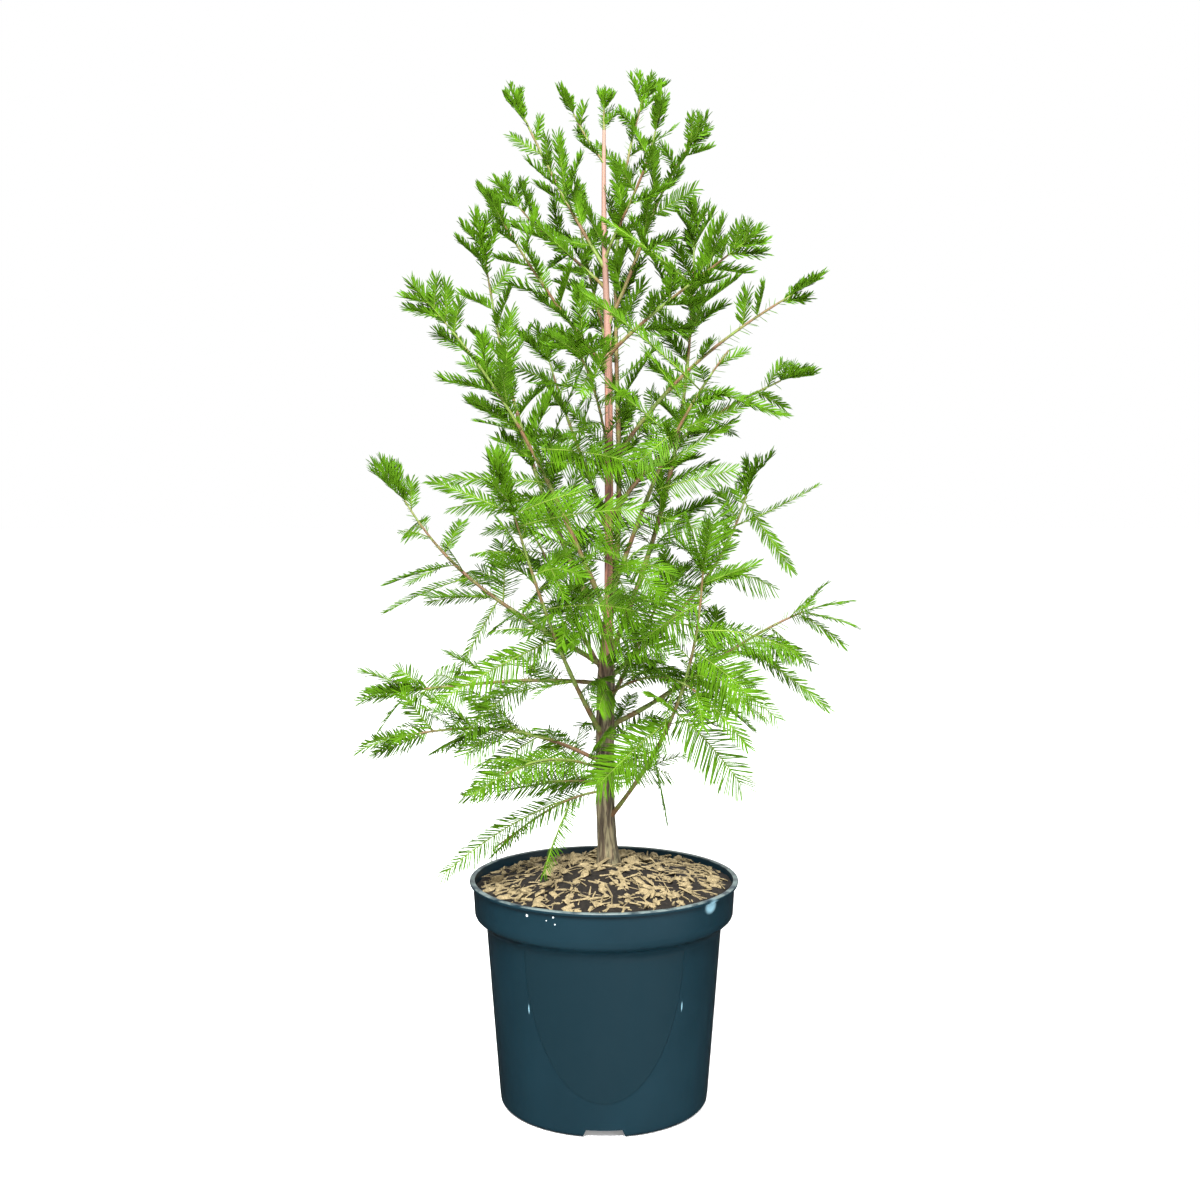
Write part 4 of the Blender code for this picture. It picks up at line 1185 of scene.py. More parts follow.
SHOOTS = (
    Shoot("low_right", 0.51, -17, -46, 0.098, 0.20, BROAD, BRIGHT),
    Shoot("low_right", 0.74, -28, -35, 0.077, 0.20, BROAD, BRIGHT, 60),
    Shoot("low_right", 0.70, -34, -30, 0.070, 0.25, BROAD, BRIGHT, 62),
    Shoot("low_right", 0.90, -152, -27, 0.073, 0.15, BROAD, BRIGHT),
    Shoot("low_right", 0.48, -165, -40, 0.101, 0.10, BROAD, BRIGHT, 40),
    Shoot("low_right", 0.81, 11, -13, 0.106, 0.30, FEATHER, GREEN, 48),
    Shoot("low_right", 0.65, 18, -29, 0.100, 0.20, THIN, DARK),
    Shoot("low_right", 0.32, 64, -64, 0.077, 0.10, FEATHER, DARK),
    Shoot("right_mid", 0.70, -13, -35, 0.107, 0.12, PLUME, GREEN, 30),
    Shoot("right_mid", 0.98, 0, -34, 0.056, 0.12, PLUME, MIXED, 30),
    Shoot("left_front", 0.53, -16, -8, 0.111, 0.10, BROAD, BRIGHT, 50),
    Shoot("left_front", 0.61, -24, 1, 0.099, 0.22, BROAD, BRIGHT, 50),
    Shoot("left_front", 0.48, -170, -27, 0.131, 0.10, FEATHER, GREEN, 44),
    Shoot("left_long", 0.47, -154, -59, 0.091, 0.10, THIN, DARK),
    Shoot("left_long", 0.62, 180, -23, 0.097, 0.15, THIN, DULL),
    Shoot("left_long", 0.48, -156, 3, 0.073, 0.08, PLUME, GREEN, 20),
    Shoot("left_low", 0.36, -166, -8, 0.083, 0.10, THIN, DULL),
    Shoot("left_front", 0.93, -10, 8, 0.118, 0.14, BROAD, BRIGHT, 50),
    Shoot("left_front", 0.97, -23, 17, 0.080, 0.12, FEATHER, GREEN, 50),
    Shoot("left_front_leader", 0.51, -17, -3, 0.105, 0.12, FEATHER, GREEN, 46),
    Shoot("left_front_leader", 0.56, -18, -9, 0.128, 0.18, BROAD, BRIGHT, 40),
    Shoot("left_front_leader", 0.73, -76, 70, 0.089, 0.02, PLUME, YELLOW, 10),
    Shoot("left_front_leader", 0.50, -32, 61, 0.117, 0.04, PLUME, YELLOW, 20),
    Shoot("right_front_leader", 0.84, -166, 38, 0.150, 0.12, PLUME, YELLOW, 40),
    Shoot("right_front_leader", 0.64, -149, 34, 0.093, 0.08, PLUME, YELLOW, 40),
    Shoot("right_front_leader", 0.76, -144, 47, 0.074, 0.05, PLUME, YELLOW, 40),
    Shoot("upper_right_low", 0.72, -168, 34, 0.106, 0.10, PLUME, YELLOW, 40),
    Shoot("upper_right_low", 0.56, -147, 57, 0.083, 0.05, BRUSH, MIXED, 30),
    Shoot("right_mid_up", 0.88, 0, 26, 0.099, -0.10, THIN, MIXED),
    Shoot("right_mid_up", 0.98, -28, -54, 0.090, 0.05, PLUME, GREEN, 30),
    Shoot("right_front_leader", 0.85, -15, -19, 0.084, 0.02, PLUME, YELLOW, 30),
    Shoot("right_front_leader", 0.51, -23, 31, 0.091, 0.05, PLUME, MIXED, 40),
    Shoot("top_left", 0.46, -110, 70, 0.060, 0.02, BRUSH, MIXED, 10),
    Shoot("left_mid", 0.90, -180, -6, 0.060, 0.04, BRUSH, DULL),
    Shoot("left_low", 0.89, 180, -23, 0.055, 0.04, PLUME, GREEN),
    Shoot("low_right", 0.99, -70, 66, 0.066, 0.04, BROAD, BRIGHT, 20),
    Shoot("right_front_leader", 0.42, -13, 14, 0.089, 0.06, FEATHER, GREEN),
    Shoot("low_right", 1.00, -125, 64, 0.056, 0.03, FEATHER, BRIGHT),
    Shoot("right_front_leader", 0.34, -14, -18, 0.086, 0.08, FEATHER, MIXED),
    Shoot("right_front_leader", 0.67, -24, 19, 0.077, 0.04, PLUME, MIXED),
    Shoot("right_front_leader", 0.68, -136, -30, 0.066, 0.04, FEATHER, BRIGHT),
    Shoot("left_low", 0.44, -158, 34, 0.065, 0.04, THIN, DULL),
    Shoot("left_low", 0.55, -158, -2, 0.054, 0.04, THIN, DARK),
    Shoot("left_low", 0.23, -161, -22, 0.064, 0.04, THIN, DARK),
    Shoot("left_front", 0.28, 168, -12, 0.101, 0.06, THIN, DARK),
    Shoot("left_long", 0.25, 180, -70, 0.078, 0.02, THIN, DARK),
    Shoot("low_right", 0.22, -153, 24, 0.049, 0.04, THIN, MIXED),
    Shoot("low_right", 0.34, -150, -20, 0.070, 0.06, FEATHER, GREEN),
    Shoot("left_low", 0.62, -170, 20, 0.070, 0.06, THIN, GREEN),
    Shoot("left_low", 0.34, 150, 10, 0.080, 0.06, THIN, MIXED),
    Shoot("left_low", 0.50, 160, -30, 0.050, 0.06, THIN, DULL),
    Shoot("left_front", 0.80, -130, 46, 0.057, 0.04, FEATHER, BRIGHT),
    Shoot("left_front", 0.69, -31, 28, 0.067, 0.05, FEATHER, GREEN),
    Shoot("left_low", 0.88, 180, 52, 0.050, 0.02, PLUME, DULL),
    Shoot("left_front", 0.97, 172, 22, 0.085, 0.06, PLUME, GREEN, 30),
    Shoot("left_front_leader", 0.44, 176, 2, 0.105, 0.08, PLUME, MIXED, 30),
    Shoot("left_front_leader", 0.38, 170, -4, 0.110, 0.10, FEATHER, GREEN, 30),
    Shoot("left_front_leader", 0.62, 150, 30, 0.070, 0.02, PLUME, MIXED, 30),
    Shoot("low_right", 0.99, 60, 70, 0.050, 0.00, PLUME, YELLOW, 10),
    Shoot("low_right", 0.96, -30, 20, 0.060, 0.04, PLUME, GREEN, 30),
    Shoot("right_mid_up", 0.70, -150, 20, 0.070, 0.04, PLUME, GREEN, 30),
    Shoot("right_leader", 0.93, -30, 45, 0.050, 0.00, BRUSH, YELLOW, 20),
    Shoot("right_leader", 0.86, -10, 35, 0.056, 0.00, BRUSH, YELLOW, 20),
    Shoot("right_leader", 0.80, -70, 45, 0.060, 0.02, BRUSH, YELLOW, 20),
    Shoot("right_leader", 0.89, 170, 50, 0.046, 0.00, BRUSH, MIXED, 20),
    Shoot("upper_right_low", 0.85, -60, 60, 0.050, 0.00, BRUSH, YELLOW, 20),
)
# Limbs that are one long feather themselves
FEATHERED = {"low_left_droop": BRIGHT, "low_left_flat": DULL, "left_low_front": DARK}
# Openings through the crown: x, z, half width, half height, and the share of the sprays that stay
OPENINGS = (
    (0.120, 0.772, 0.062, 0.038, 0.06),
    (-0.103, 0.334, 0.058, 0.036, 0.25),
    (0.168, 0.624, 0.032, 0.036, 0.30),
    (0.150, 0.500, 0.030, 0.030, 0.50),
)
# Limbs with short sprays: the longest, and the distance between them as a share of the usual one
USUAL = (1.0, 1.0)
SLENDER = {
    "right_upper": (0.042, 1.15),
    "right_upper_low": (0.042, 1.15),
    "right_front_leader": (0.045, 1.5),
    "leader_tip": (0.020, 1.0),
    "top_small_left": (0.026, 1.3),
}


def needle_model():
    """A needle one unit long, wide and thick: a three-sided strip, a little wider far out, with a point."""
    deselect()
    bpy.ops.mesh.primitive_cone_add(vertices=3, radius1=0.5, radius2=0.5, depth=1, location=(0, 0, 0.5))
    obj = named("needle")
    bpy.ops.object.transform_apply()
    select_faces(obj, lambda centre, normal: normal.z > 0.9)
    bpy.ops.mesh.poke()
    corners, triangles = arrays_of(obj)
    shaped = np.zeros_like(corners)
    tip = np.argmin(np.hypot(corners[:, 0], corners[:, 1]) - corners[:, 2])
    shaped[tip] = (1, 0, 0)
    for level, (on, half) in enumerate(NEEDLE_WAIST):
        ring = [i for i in range(len(corners)) if i != tip and round(corners[i, 2]) == level]
        ring.sort(key=lambda i: corners[i, 0])
        for i, (y, z) in zip(ring, ((-half, 0.0), (0.0, 2 * half), (half, 0.0))):
            shaped[i] = (on, y, z)
    a, b, c = (shaped[triangles[:, k]] for k in range(3))
    if np.einsum("ij,ij->i", a, np.cross(b, c)).sum() < 0:
        triangles = triangles[:, ::-1]
    return shaped, triangles


def needles_of(spray, settings, rng):
    """Roots, directions, faces' normals, lengths, widths and tones of a spray's needles."""
    style = spray.style
    count = max(5, round(spray.length * (1 - STALK) / (settings.spacing * style.crowd)))
    on = np.repeat(STALK + (1 - STALK) * (np.arange(count) + 0.6) / count, style.rows)
    row = np.tile(np.arange(style.rows), count)
    sign = np.where(row % 2 == 0, 1.0, -1.0)
    on = np.clip(on + rng.uniform(-0.35, 0.35, len(on)) / count, 0, 1)
    points, forward, wide, top = spray.rib(on)
    start, end = style.angles
    closing = 1 - TIP_CLOSING * np.clip((on - CLOSING_FROM) / (1 - CLOSING_FROM), 0, 1)
    open_by = np.radians((start + (end - start) * on) * closing + rng.normal(0, 5, len(on)))
    lift = np.radians(rng.uniform(*style.lift) + rng.normal(0, style.stray, len(on)))
    # A third row stands up from the rib
    lift = np.where(row == 2, math.radians(THIRD_ROW_LIFT) + rng.normal(0, 0.5, len(on)), lift)
    out = wide * (sign * np.cos(lift))[:, None] + top * np.sin(lift)[:, None]
    ahead = forward * np.cos(open_by)[:, None] + out * np.sin(open_by)[:, None]
    normal = top * np.cos(lift)[:, None] - wide * (sign * np.sin(lift))[:, None]
    normal -= ahead * np.einsum("ij,ij->i", normal, ahead)[:, None]
    normal /= np.linalg.norm(normal, axis=1, keepdims=True)
    swell = np.sin(np.clip(on / WIDEST_AT, 0, 1) * math.pi / 2)
    profile = style.foot + (1 - style.foot) * swell
    profile *= 1 - (1 - style.tip) * np.clip((on - WIDEST_AT) / (1 - WIDEST_AT), 0, 1) ** 2
    lengths = spray.needle * profile * rng.uniform(0.84, 1.08, len(on))
    widths = settings.width * style.width * (0.80 + 0.20 * profile) * rng.uniform(0.85, 1.1, len(on))
    foot, main, tip = spray.tones
    tones = np.where(on > rng.uniform(0.45, 0.75), tip, main)
    tones = np.where(on < rng.uniform(0.10, 0.34), foot, tones)
    tones = np.where(rng.random(len(on)) < ODD_NEEDLES, MIDDLE, tones)
    return points, ahead, normal, lengths, widths, tones


def needle_mesh(name, sprays, settings, rng):
    """Every needle of these sprays as one mesh."""
    model, faces = needle_model()
    parts = [needles_of(spray, settings, rng) for spray in sprays]
    sags = np.concatenate([np.full(len(part[0]), spray.style.sag) for part, spray in zip(parts, sprays)])
    points, ahead, normal, lengths, widths, tones = (np.concatenate(column) for column in zip(*parts))
    side = np.cross(normal, ahead)
    x, y, z = (model[:, k][None, :, None] for k in range(3))
    corners = points[:, None, :] + ahead[:, None, :] * (lengths[:, None, None] * x)
    corners = corners + side[:, None, :] * (widths[:, None, None] * y)
    corners = corners + normal[:, None, :] * (widths[:, None, None] * NEEDLE_THICKNESS * z)
    corners[:, :, 2] -= (sags * lengths)[:, None] * (model[:, 0] ** 2)[None, :]
    triangles = faces[None] + (np.arange(len(points)) * len(model))[:, None, None]
    corners, triangles = corners.reshape(-1, 3), triangles.reshape(-1, 3)
    return mesh_object(name, corners, triangles, np.repeat(tones, len(faces)), flat=True)


def rib_mesh(name, sprays):
    """The three-sided ribs of the sprays as one mesh."""
    steps = np.linspace(0, 1, RIB_STEPS)
    faces = [(0, 2, 1), (3 * RIB_STEPS - 3, 3 * RIB_STEPS - 2, 3 * RIB_STEPS - 1)]
    for i in range(RIB_STEPS - 1):
        for j in range(3):
            a, b = 3 * i + j, 3 * i + (j + 1) % 3
            faces += [(a, b, b + 3), (a, b + 3, a + 3)]
    faces = np.array(faces)
    thin = RIB_RADIUS[0] - (RIB_RADIUS[0] - RIB_RADIUS[1]) * steps
    corners, triangles, total = [], [], 0
    for spray in sprays:
        points, _, wide, top = spray.rib(steps)
        radii = thin[:, None] * (0.7 + 4.0 * spray.length)
        ring = np.stack([points + wide * radii, points + top * radii, points - wide * radii], axis=1)
        part = ring.reshape(-1, 3)
        a, b, c = (part[faces[:, k]] - part[0] for k in range(3))
        outwards = np.einsum("ij,ij->i", a, np.cross(b, c)).sum() > 0
        corners.append(part)
        triangles.append((faces if outwards else faces[:, ::-1]) + total)
        total += len(part)
    return mesh_object(name, np.concatenate(corners), np.concatenate(triangles))


def has_room(spray, inner=0.0015, inset=0.003):
    """Whether a spray keeps off the trunk, the mulch and the rim and inside the model's box."""
    low, high = CAD_BOX
    for point in spray.rib(np.linspace(0.25, 1, 7))[0]:
        axis, radius = trunk_beside(point[2])
        if point[2] < TRUNK_TIP and math.hypot(point[0] - axis.x, point[1] - axis.y) < radius + inner:
            return False
        if not LOWEST_LEAF + 0.004 < point[2] < HIGHEST_TIP:
            return False
        if not all(low[k] + inset < point[k] < high[k] - inset for k in (0, 1)):
            return False
    return True


def cleared(spray, rng):
    """Whether a spray is left out because it would close an opening."""
    middle = spray.rib([0.6])[0][0]
    for x, z, wide, high, stay in OPENINGS:
        if math.hypot((middle[0] - x) / wide, (middle[2] - z) / high) < 1:
            return rng.random() > stay
    return False


def tones_of(point, rng):
    """The greens of a spray's foot, middle and tip, by how high and how far out it hangs, and whether it is
    at the front or the back; the darker greens deep in the crown are painted shade.
    """
    reach = (point - trunk_beside(point.z)[0]).xy.length
    deep = reach < (DEEP_LOW if point.z < BRUSH_TOP else DEEP_HIGH)
    # Painted light and shade: the draw is shifted by the side, so that outside and low in the crown sprays
    # at the front more often get bright greens and those at the back dark ones
    sunny = 0.10 if point.y < -0.02 else -0.06 if point.y > 0.04 else 0.0
    draw = rng.random() - sunny
    if point.z < EMERALD_TOP:
        kinds = DEEP_BELOW if deep else OUTER_BELOW
    else:
        kinds = DEEP_ABOVE if deep else OUTER_ABOVE
    return next(tones for most, tones in kinds if draw < most)


def layer_at(height):
    return next(layer for layer in LAYERS if height < layer.top)


def style_at(height, rng):
    """Feathers low in the crown, plumes and brushes above."""
    draw = rng.random()
    if height > BRUSH_TOP:
        return BRUSH if draw < 0.8 else PLUME
    if height > FEATHER_TOP:
        return BRUSH if draw < 0.45 else PLUME
    return FEATHER if draw < 0.55 else THIN if draw < 0.82 else PLUME


def needle_length(style, height, size, settings, rng):
    """Needles are shorter on short sprays, a little shorter up the crown, and much so at its top."""
    high = clamped((height - 0.50) / 0.45) + 2.2 * clamped((height - 0.93) / 0.12)
    grown = 0.70 + 0.30 * min(1.0, size / 0.06)
    return settings.needle * style.size * (1.05 - 0.12 * high) * grown * rng.uniform(0.9, 1.08)


def limb_feather(limb, tones, settings, rng):
    """A spray whose rib is the limb itself, from the trunk to its tip."""
    line = limb_line(limb)
    root, ahead = along(line, 0.10)
    end = line[-1] + along(line, 0.99)[1] * (limb.spray * TIP_SHARE * 0.8)
    span = (end - root).length
    bend = (end - root) / span - ahead
    roll = math.radians(rng.uniform(24, 44))
    needle = needle_length(FEATHER, root.z, span, settings, rng)
    curl = bend.dot(across(ahead)[0])
    return Spray(root, ahead, span, -bend.z, curl, roll, needle, FEATHER, tones)


def shoot_spray(shoot, settings, rng):
    """The spray of one long shoot, with its top to the front."""
    limb = next(limb for limb in LIMBS if limb.name == shoot.limb)
    root = along(limb_line(limb), shoot.share)[0]
    azimuth, elevation = math.radians(shoot.azimuth), math.radians(shoot.elevation)
    level = math.cos(elevation)
    aim = Vector((level * math.cos(azimuth), level * math.sin(azimuth), math.sin(elevation)))
    needle = needle_length(shoot.style, root.z, shoot.length, settings, rng)
    roll = math.radians(shoot.roll + rng.uniform(-8, 8))
    curl = rng.uniform(-0.04, 0.04)
    ahead, looks = aim + UP * shoot.droop, (shoot.style, shoot.tones)
    return facing(Spray(root, ahead, shoot.length, shoot.droop, curl, roll, needle, *looks))


def stem_sprays(limb, settings, rng):
    """The few needles that stand on a limb's own bark."""
    line = limb_line(limb)
    foot = limb.bare * 0.4
    sprays = []
    for i in range(STEM_PIECES):
        start = foot + (1 - foot) * i / STEM_PIECES
        root = along(line, start)[0]
        end = along(line, min(1.0, start + 1 / STEM_PIECES))[0]
        size = (end - root).length
        needle = needle_length(STEM, root.z, 0.06, settings, rng)
        tones = DULL if rng.random() < 0.5 else PLAIN
        sprays.append(Spray(root, (end - root) / size, size, 0.0, 0.0, 0.0, needle, STEM, tones))
    return sprays


def aside(direction, wide, degrees):
    turn = math.radians(degrees)
    return direction * math.cos(turn) + wide * math.sin(turn)


class Growth:
    """The sprays of one limb while they grow: beside its stem, at its tip and on the longest of them."""

    def __init__(self, limb, settings):
        self.limb, self.settings = limb, settings
        self.rng = random.Random(f"sprays of {limb.name}")
        self.line = limb_line(limb)
        self.sprays = []

    def add(self, root, ahead, size, droop, roll=None, style=None):
        """Adds a spray, or a shorter one, where there is room."""
        rng = self.rng
        for shorter in (1.0, 0.8, 0.62):
            long = size * shorter
            kind = style or style_at(root.z, rng)
            curl = rng.uniform(-0.14, 0.14)
            turn = math.radians(rng.uniform(-60, 60)) if roll is None else roll
            needle = needle_length(kind, root.z, long, self.settings, rng)
            tones = tones_of(root + ahead * long * 0.5, rng)
            spray = Spray(root, ahead.normalized(), long, droop, curl, turn, needle, kind, tones)
            if roll is None and rng.random() < FACING_SHARE:
                spray = facing(spray)
            if has_room(spray) and not cleared(spray, rng):
                self.sprays.append(spray)
                return spray
        return None

    def branch(self, spray, on, degrees, size, droop, roll=None):
        """Adds a spray that leaves another in its blade."""
        points, forward, wide, _ = spray.rib([on])
        ahead = aside(Vector(forward[0]), Vector(wide[0]), degrees)
        self.add(Vector(points[0]), ahead, size, droop, roll, spray.style)

    def side_length(self, on, height, stem):
        """How long a spray beside the stem would be: shorter towards the tip."""
        rng, limb = self.rng, self.limb
        size = limb.spray * (1.15 - 0.55 * on) * rng.uniform(0.60, 1.05)
        size *= 0.55 if on < limb.bare else 1.0
        most = layer_at(height).longest * rng.uniform(0.75, 1.0)
        slender = SLENDER.get(limb.name, USUAL)[0] * rng.uniform(0.7, 1.0)
        return min(size, most, slender, 0.030 + 0.75 * (1 - on) * stem)

    def side(self, number, turn, on, stem):
        """Adds a spray beside the stem, with branches of its own where it is long."""
        rng, droop = self.rng, self.limb.droop
        root, ahead = along(self.line, min(on, 0.995))
        level, upright = across(ahead)
        size = self.side_length(on, root.z, stem)
        for attempt in range(SIDE_ATTEMPTS):
            open_by = math.radians(rng.uniform(*layer_at(root.z).opening))
            angle = math.radians(turn + GOLDEN_ANGLE * (number + attempt))
            out = level * math.cos(angle) + upright * (math.sin(angle) * 0.8)
            direction = ahead * math.cos(open_by) + out.normalized() * math.sin(open_by)
            if direction.z < STEEPEST_FALL:
                continue
            spray = self.add(root, direction, size, droop * rng.uniform(0.7, 1.3))
            if spray is None:
                continue
            if size > BRANCHING_SIZE and rng.random() < BRANCHING_SHARE:
                for k in range(rng.choice((1, 2, 3))):
                    bend = rng.uniform(36, 52) * (1 if k % 2 else -1)
                    shorter = size * rng.uniform(0.40, 0.58)
                    self.branch(spray, 0.22 + 0.16 * k, bend, shorter, droop, spray.roll)
            return

    def sides(self):
        """Adds the sprays beside the stem, and returns the turn of the first."""
        limb = self.limb
        start = limb.bare * 0.55
        stem = sum((b - a).length for a, b in zip(self.line, self.line[1:]))
        spacing = layer_at(along(self.line, (1 + start) / 2)[0].z).spacing
        spacing *= SLENDER.get(limb.name, USUAL)[1]
        if limb.name in FEATHERED:
            spacing = FEATHERED_SPACING
        count = max(2, round(stem * (1 - start) / (self.settings.twig * spacing)))
        turn = self.rng.uniform(0, 360)
        for i in range(count):
            on = start + (1 - start) * (i + 0.5 + self.rng.uniform(-0.2, 0.2)) / (count + 0.2)
            self.side(i, turn, on, stem)
        return turn

    def tip(self, turn):
        """Adds the fan of sprays at the tip or, high in the crown, the brush."""
        rng = self.rng
        root, ahead = along(self.line, 0.99)
        level, upright = across(ahead)
        long, droop = self.limb.spray * TIP_SHARE, self.limb.droop / 2
        if root.z < FEATHER_TOP:
            lean = level * math.cos(turn) + upright * math.sin(turn)
            for degrees, share in TIP_FAN:
                self.add(root, aside(ahead, lean, degrees), long * share, droop, style=PLUME)
            return
        tip = self.add(root, ahead, long * 0.95, droop, style=BRUSH)
        for k in range(TIP_BRUSHES if tip else 0):
            bend = rng.uniform(30, 46) * (1 if k % 2 else -1)
            shorter = long * (0.74 - 0.10 * k) * rng.uniform(0.9, 1.1)
            self.branch(tip, 0.06 + 0.17 * k, bend, shorter, 0.0)


def grow_sprays(limb, settings):
    """All the sprays of one limb."""
    growth = Growth(limb, settings)
    if limb.name in FEATHERED:
        growth.sprays.append(limb_feather(limb, FEATHERED[limb.name], settings, growth.rng))
    turn = growth.sides()
    if limb.name not in FEATHERED:
        growth.tip(turn)
    return growth.sprays


# Pieces that the needles are joined into, by the height where each ends
ZONES = (("low", 0.45), ("middle", 0.585), ("upper", 0.75), ("top", math.inf))


def zone_of(limb):
    """The layer of the crown that the middle of a limb's stem is in."""
    height = along(limb_line(limb), (1 + limb.bare) / 2)[0].z
    return next(name for name, top in ZONES if height < top)


def make_foliage(settings, bark):
    greens = [
        needle_finish("needles_shade", settings.shade),
        needle_finish("needles_leaf_green", settings.middle),
        needle_finish("needles_fresh", settings.fresh),
        needle_finish("needles_lime", settings.lime),
        needle_finish("needles_emerald", settings.emerald),
        needle_finish("needles_olive", settings.olive),
    ]
    rng = random.Random("shoots")
    shoots = {shoot: shoot_spray(shoot, settings, rng) for shoot in SHOOTS}
    ribbed = []
    for name, _ in ZONES:
        limbs = [limb for limb in LIMBS if zone_of(limb) == name]
        names = {limb.name for limb in limbs}
        sprays = [spray for limb in limbs for spray in grow_sprays(limb, settings)]
        sprays += [spray for shoot, spray in shoots.items() if shoot.limb in names]
        ribbed += sprays
        for limb in limbs:
            sprays += stem_sprays(limb, settings, rng)
        needles = needle_mesh(f"needles_{name}", sprays, settings, np.random.default_rng(SEED))
        finish_piece(needles, "foliage", [f"foliage_{limb.name}" for limb in limbs], *greens)
    ribs = rib_mesh("spray_ribs", ribbed)
    finish_piece(ribs, "foliage", [], needle_finish("rib_green", bark.green))


# ---------------------------------------------------------------- stage


WHITE = (1, 1, 1)
FLOOR_LEVEL = -0.0006
WINDOW_LIGHT = {"place": (1.86, -1.67, 1.0), "aim": (0, 0, 0.4), "side": 3.0}
TOP_LIGHT = {"place": (-0.3, -2.1, 2.5), "aim": (0, 0, 0.7), "side": 1.2}
CAMERA_PLACE = (-0.0041, -1.58, 0.645)
CAMERA_FALL = 4.34  # degrees below level
SENSOR_WIDTH = 36.0


def area_light(name, power, place, aim, side):
    deselect()
    bpy.ops.object.light_add(type="AREA", location=place)
    light = bpy.context.object
    light.name = light.data.name = name
    light.rotation_euler = (Vector(aim) - Vector(place)).to_track_quat("-Z", "Y").to_euler()
    light.data.shape = "RECTANGLE"
    light.data.size = light.data.size_y = side
    light.data.energy, light.data.color = power, WHITE


def make_floor(settings):
    deselect()
    bpy.ops.mesh.primitive_plane_add(size=40, location=(0, 0, FLOOR_LEVEL))
    floor = named("floor")
    finish = Finish("floor_paint", roughness=0.9, specular=0.1)
    finish.shader.inputs["Emission Color"].default_value = (*WHITE, 1)
    finish.shader.inputs["Emission Strength"].default_value = settings.glow
    tone = finish.mix(finish.grain(3.0, 2.0) * 0.3, settings.floor, shaded(settings.floor, 0.985))
    floor.data.materials.append(finish.set("Base Color", tone).material)
    floor.visible_glossy = False


def make_world(strength):
    """White to the camera; as a light, even above and dim below the horizon."""
    world = bpy.data.worlds.new("surroundings")
    world.use_nodes = True
    nodes, link = world.node_tree.nodes, world.node_tree.links.new
    light, white = nodes["Background"], nodes.new("ShaderNodeBackground")
    for background in (light, white):
        background.inputs["Color"].default_value = (*WHITE, 1)
    white.inputs["Strength"].default_value = 1.0
    way, parts = nodes.new("ShaderNodeTexCoord"), nodes.new("ShaderNodeSeparateXYZ")
    sky = nodes.new("ShaderNodeMapRange")
    for socket, value in (("From Min", -0.05), ("From Max", 0.15), ("To Min", 0.05), ("To Max", strength)):
        sky.inputs[socket].default_value = value
    link(way.outputs["Generated"], parts.inputs[0])
    link(parts.outputs["Z"], sky.inputs["Value"])
    link(sky.outputs[0], light.inputs["Strength"])
    path, blend = nodes.new("ShaderNodeLightPath"), nodes.new("ShaderNodeMixShader")
    link(path.outputs["Is Camera Ray"], blend.inputs[0])
    link(light.outputs[0], blend.inputs[1])
    link(white.outputs[0], blend.inputs[2])
    link(blend.outputs[0], nodes["World Output"].inputs["Surface"])
    bpy.context.scene.world = world


def make_camera(settings):
    rotation = (math.radians(90 - CAMERA_FALL), 0, 0)
    bpy.ops.object.camera_add(location=CAMERA_PLACE, rotation=rotation)
    camera = bpy.context.object
    camera.name = camera.data.name = "front_camera"
    camera.data.lens, camera.data.sensor_width = settings.lens, SENSOR_WIDTH
    bpy.context.scene.camera = camera


def make_stage(settings):
    make_floor(settings)
    area_light("window", settings.window, **WINDOW_LIGHT)
    area_light("top_light", settings.top, **TOP_LIGHT)
    make_world(settings.world)
    bpy.context.scene.view_settings.view_transform = "Standard"
    make_camera(settings)
    deselect()


# ---------------------------------------------------------------- operators


class CYPRESS_OT_pot(bpy.types.Operator):
    """Models the pot with its lip, collar, front panel and drainage channels"""

    bl_idname = "cypress.pot"
    bl_label = "Pot"

    def execute(self, context):
        make_pot(context.scene.cypress_pot)
        return {"FINISHED"}


class CYPRESS_OT_mulch(bpy.types.Operator):
    """Fills the pot with compost and strews wood chips on it"""

    bl_idname = "cypress.mulch"
    bl_label = "Compost and chips"

    def execute(self, context):
        make_compost(context.scene.cypress_mulch)
        make_chips(context.scene.cypress_mulch)
        return {"FINISHED"}


class CYPRESS_OT_trunk(bpy.types.Operator):
    """Models the trunk with its furrowed bark"""

    bl_idname = "cypress.trunk"
    bl_label = "Trunk"

    def execute(self, context):
        make_trunk(context.scene.cypress_bark)
        return {"FINISHED"}


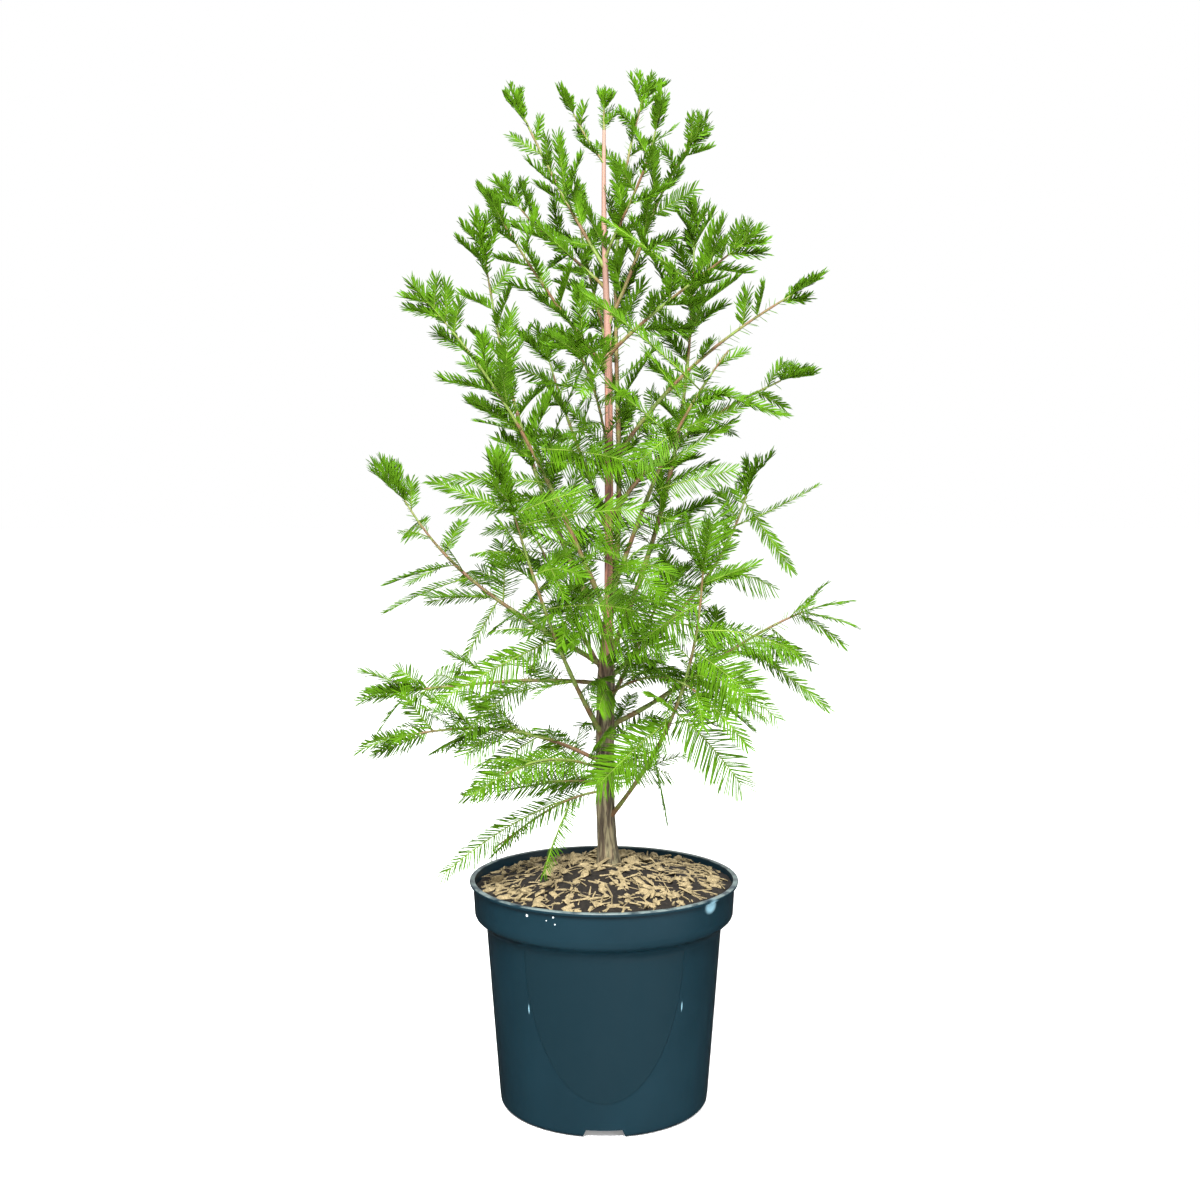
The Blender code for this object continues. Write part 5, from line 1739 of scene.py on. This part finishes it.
class CYPRESS_OT_limbs(bpy.types.Operator):
    """Models the boughs and the stems of the crown"""

    bl_idname = "cypress.limbs"
    bl_label = "Boughs and stems"

    def execute(self, context):
        make_limbs(context.scene.cypress_bark)
        return {"FINISHED"}


class CYPRESS_OT_foliage(bpy.types.Operator):
    """Grows the sprays of needles on the stems"""

    bl_idname = "cypress.foliage"
    bl_label = "Sprays of needles"

    def execute(self, context):
        make_foliage(context.scene.cypress_foliage, context.scene.cypress_bark)
        return {"FINISHED"}


class CYPRESS_OT_stage(bpy.types.Operator):
    """Sets up the floor, the lights and the camera"""

    bl_idname = "cypress.stage"
    bl_label = "Floor, light and camera"

    def execute(self, context):
        make_stage(context.scene.cypress_stage)
        return {"FINISHED"}


SETTINGS = {
    "cypress_pot": PotSettings,
    "cypress_mulch": MulchSettings,
    "cypress_bark": BarkSettings,
    "cypress_foliage": FoliageSettings,
    "cypress_stage": StageSettings,
}
OPERATORS = (
    CYPRESS_OT_pot,
    CYPRESS_OT_mulch,
    CYPRESS_OT_trunk,
    CYPRESS_OT_limbs,
    CYPRESS_OT_foliage,
    CYPRESS_OT_stage,
)


class CYPRESS_PT_panel(bpy.types.Panel):
    """Lists the steps and their settings"""

    bl_idname = "CYPRESS_PT_panel"
    bl_label = "Potted bald cypress"
    bl_space_type = "VIEW_3D"
    bl_region_type = "UI"
    bl_category = "Cypress"

    def draw(self, context):
        for operator in OPERATORS:
            self.layout.operator(operator.bl_idname)
        for name, group in SETTINGS.items():
            box = self.layout.box()
            box.label(text=group.__doc__.strip(". "))
            for key in group.__annotations__:
                box.prop(getattr(context.scene, name), key)


CLASSES = (*SETTINGS.values(), *OPERATORS, CYPRESS_PT_panel)


def register():
    for made in CLASSES:
        bpy.utils.register_class(made)
    for name, group in SETTINGS.items():
        setattr(bpy.types.Scene, name, PointerProperty(type=group))


def unregister():
    for name in SETTINGS:
        delattr(bpy.types.Scene, name)
    for made in reversed(CLASSES):
        bpy.utils.unregister_class(made)


def main():
    register()
    for operator in OPERATORS:
        group, name = operator.bl_idname.split(".")
        getattr(getattr(bpy.ops, group), name)()
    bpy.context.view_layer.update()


if __name__ == "__main__":
    main()
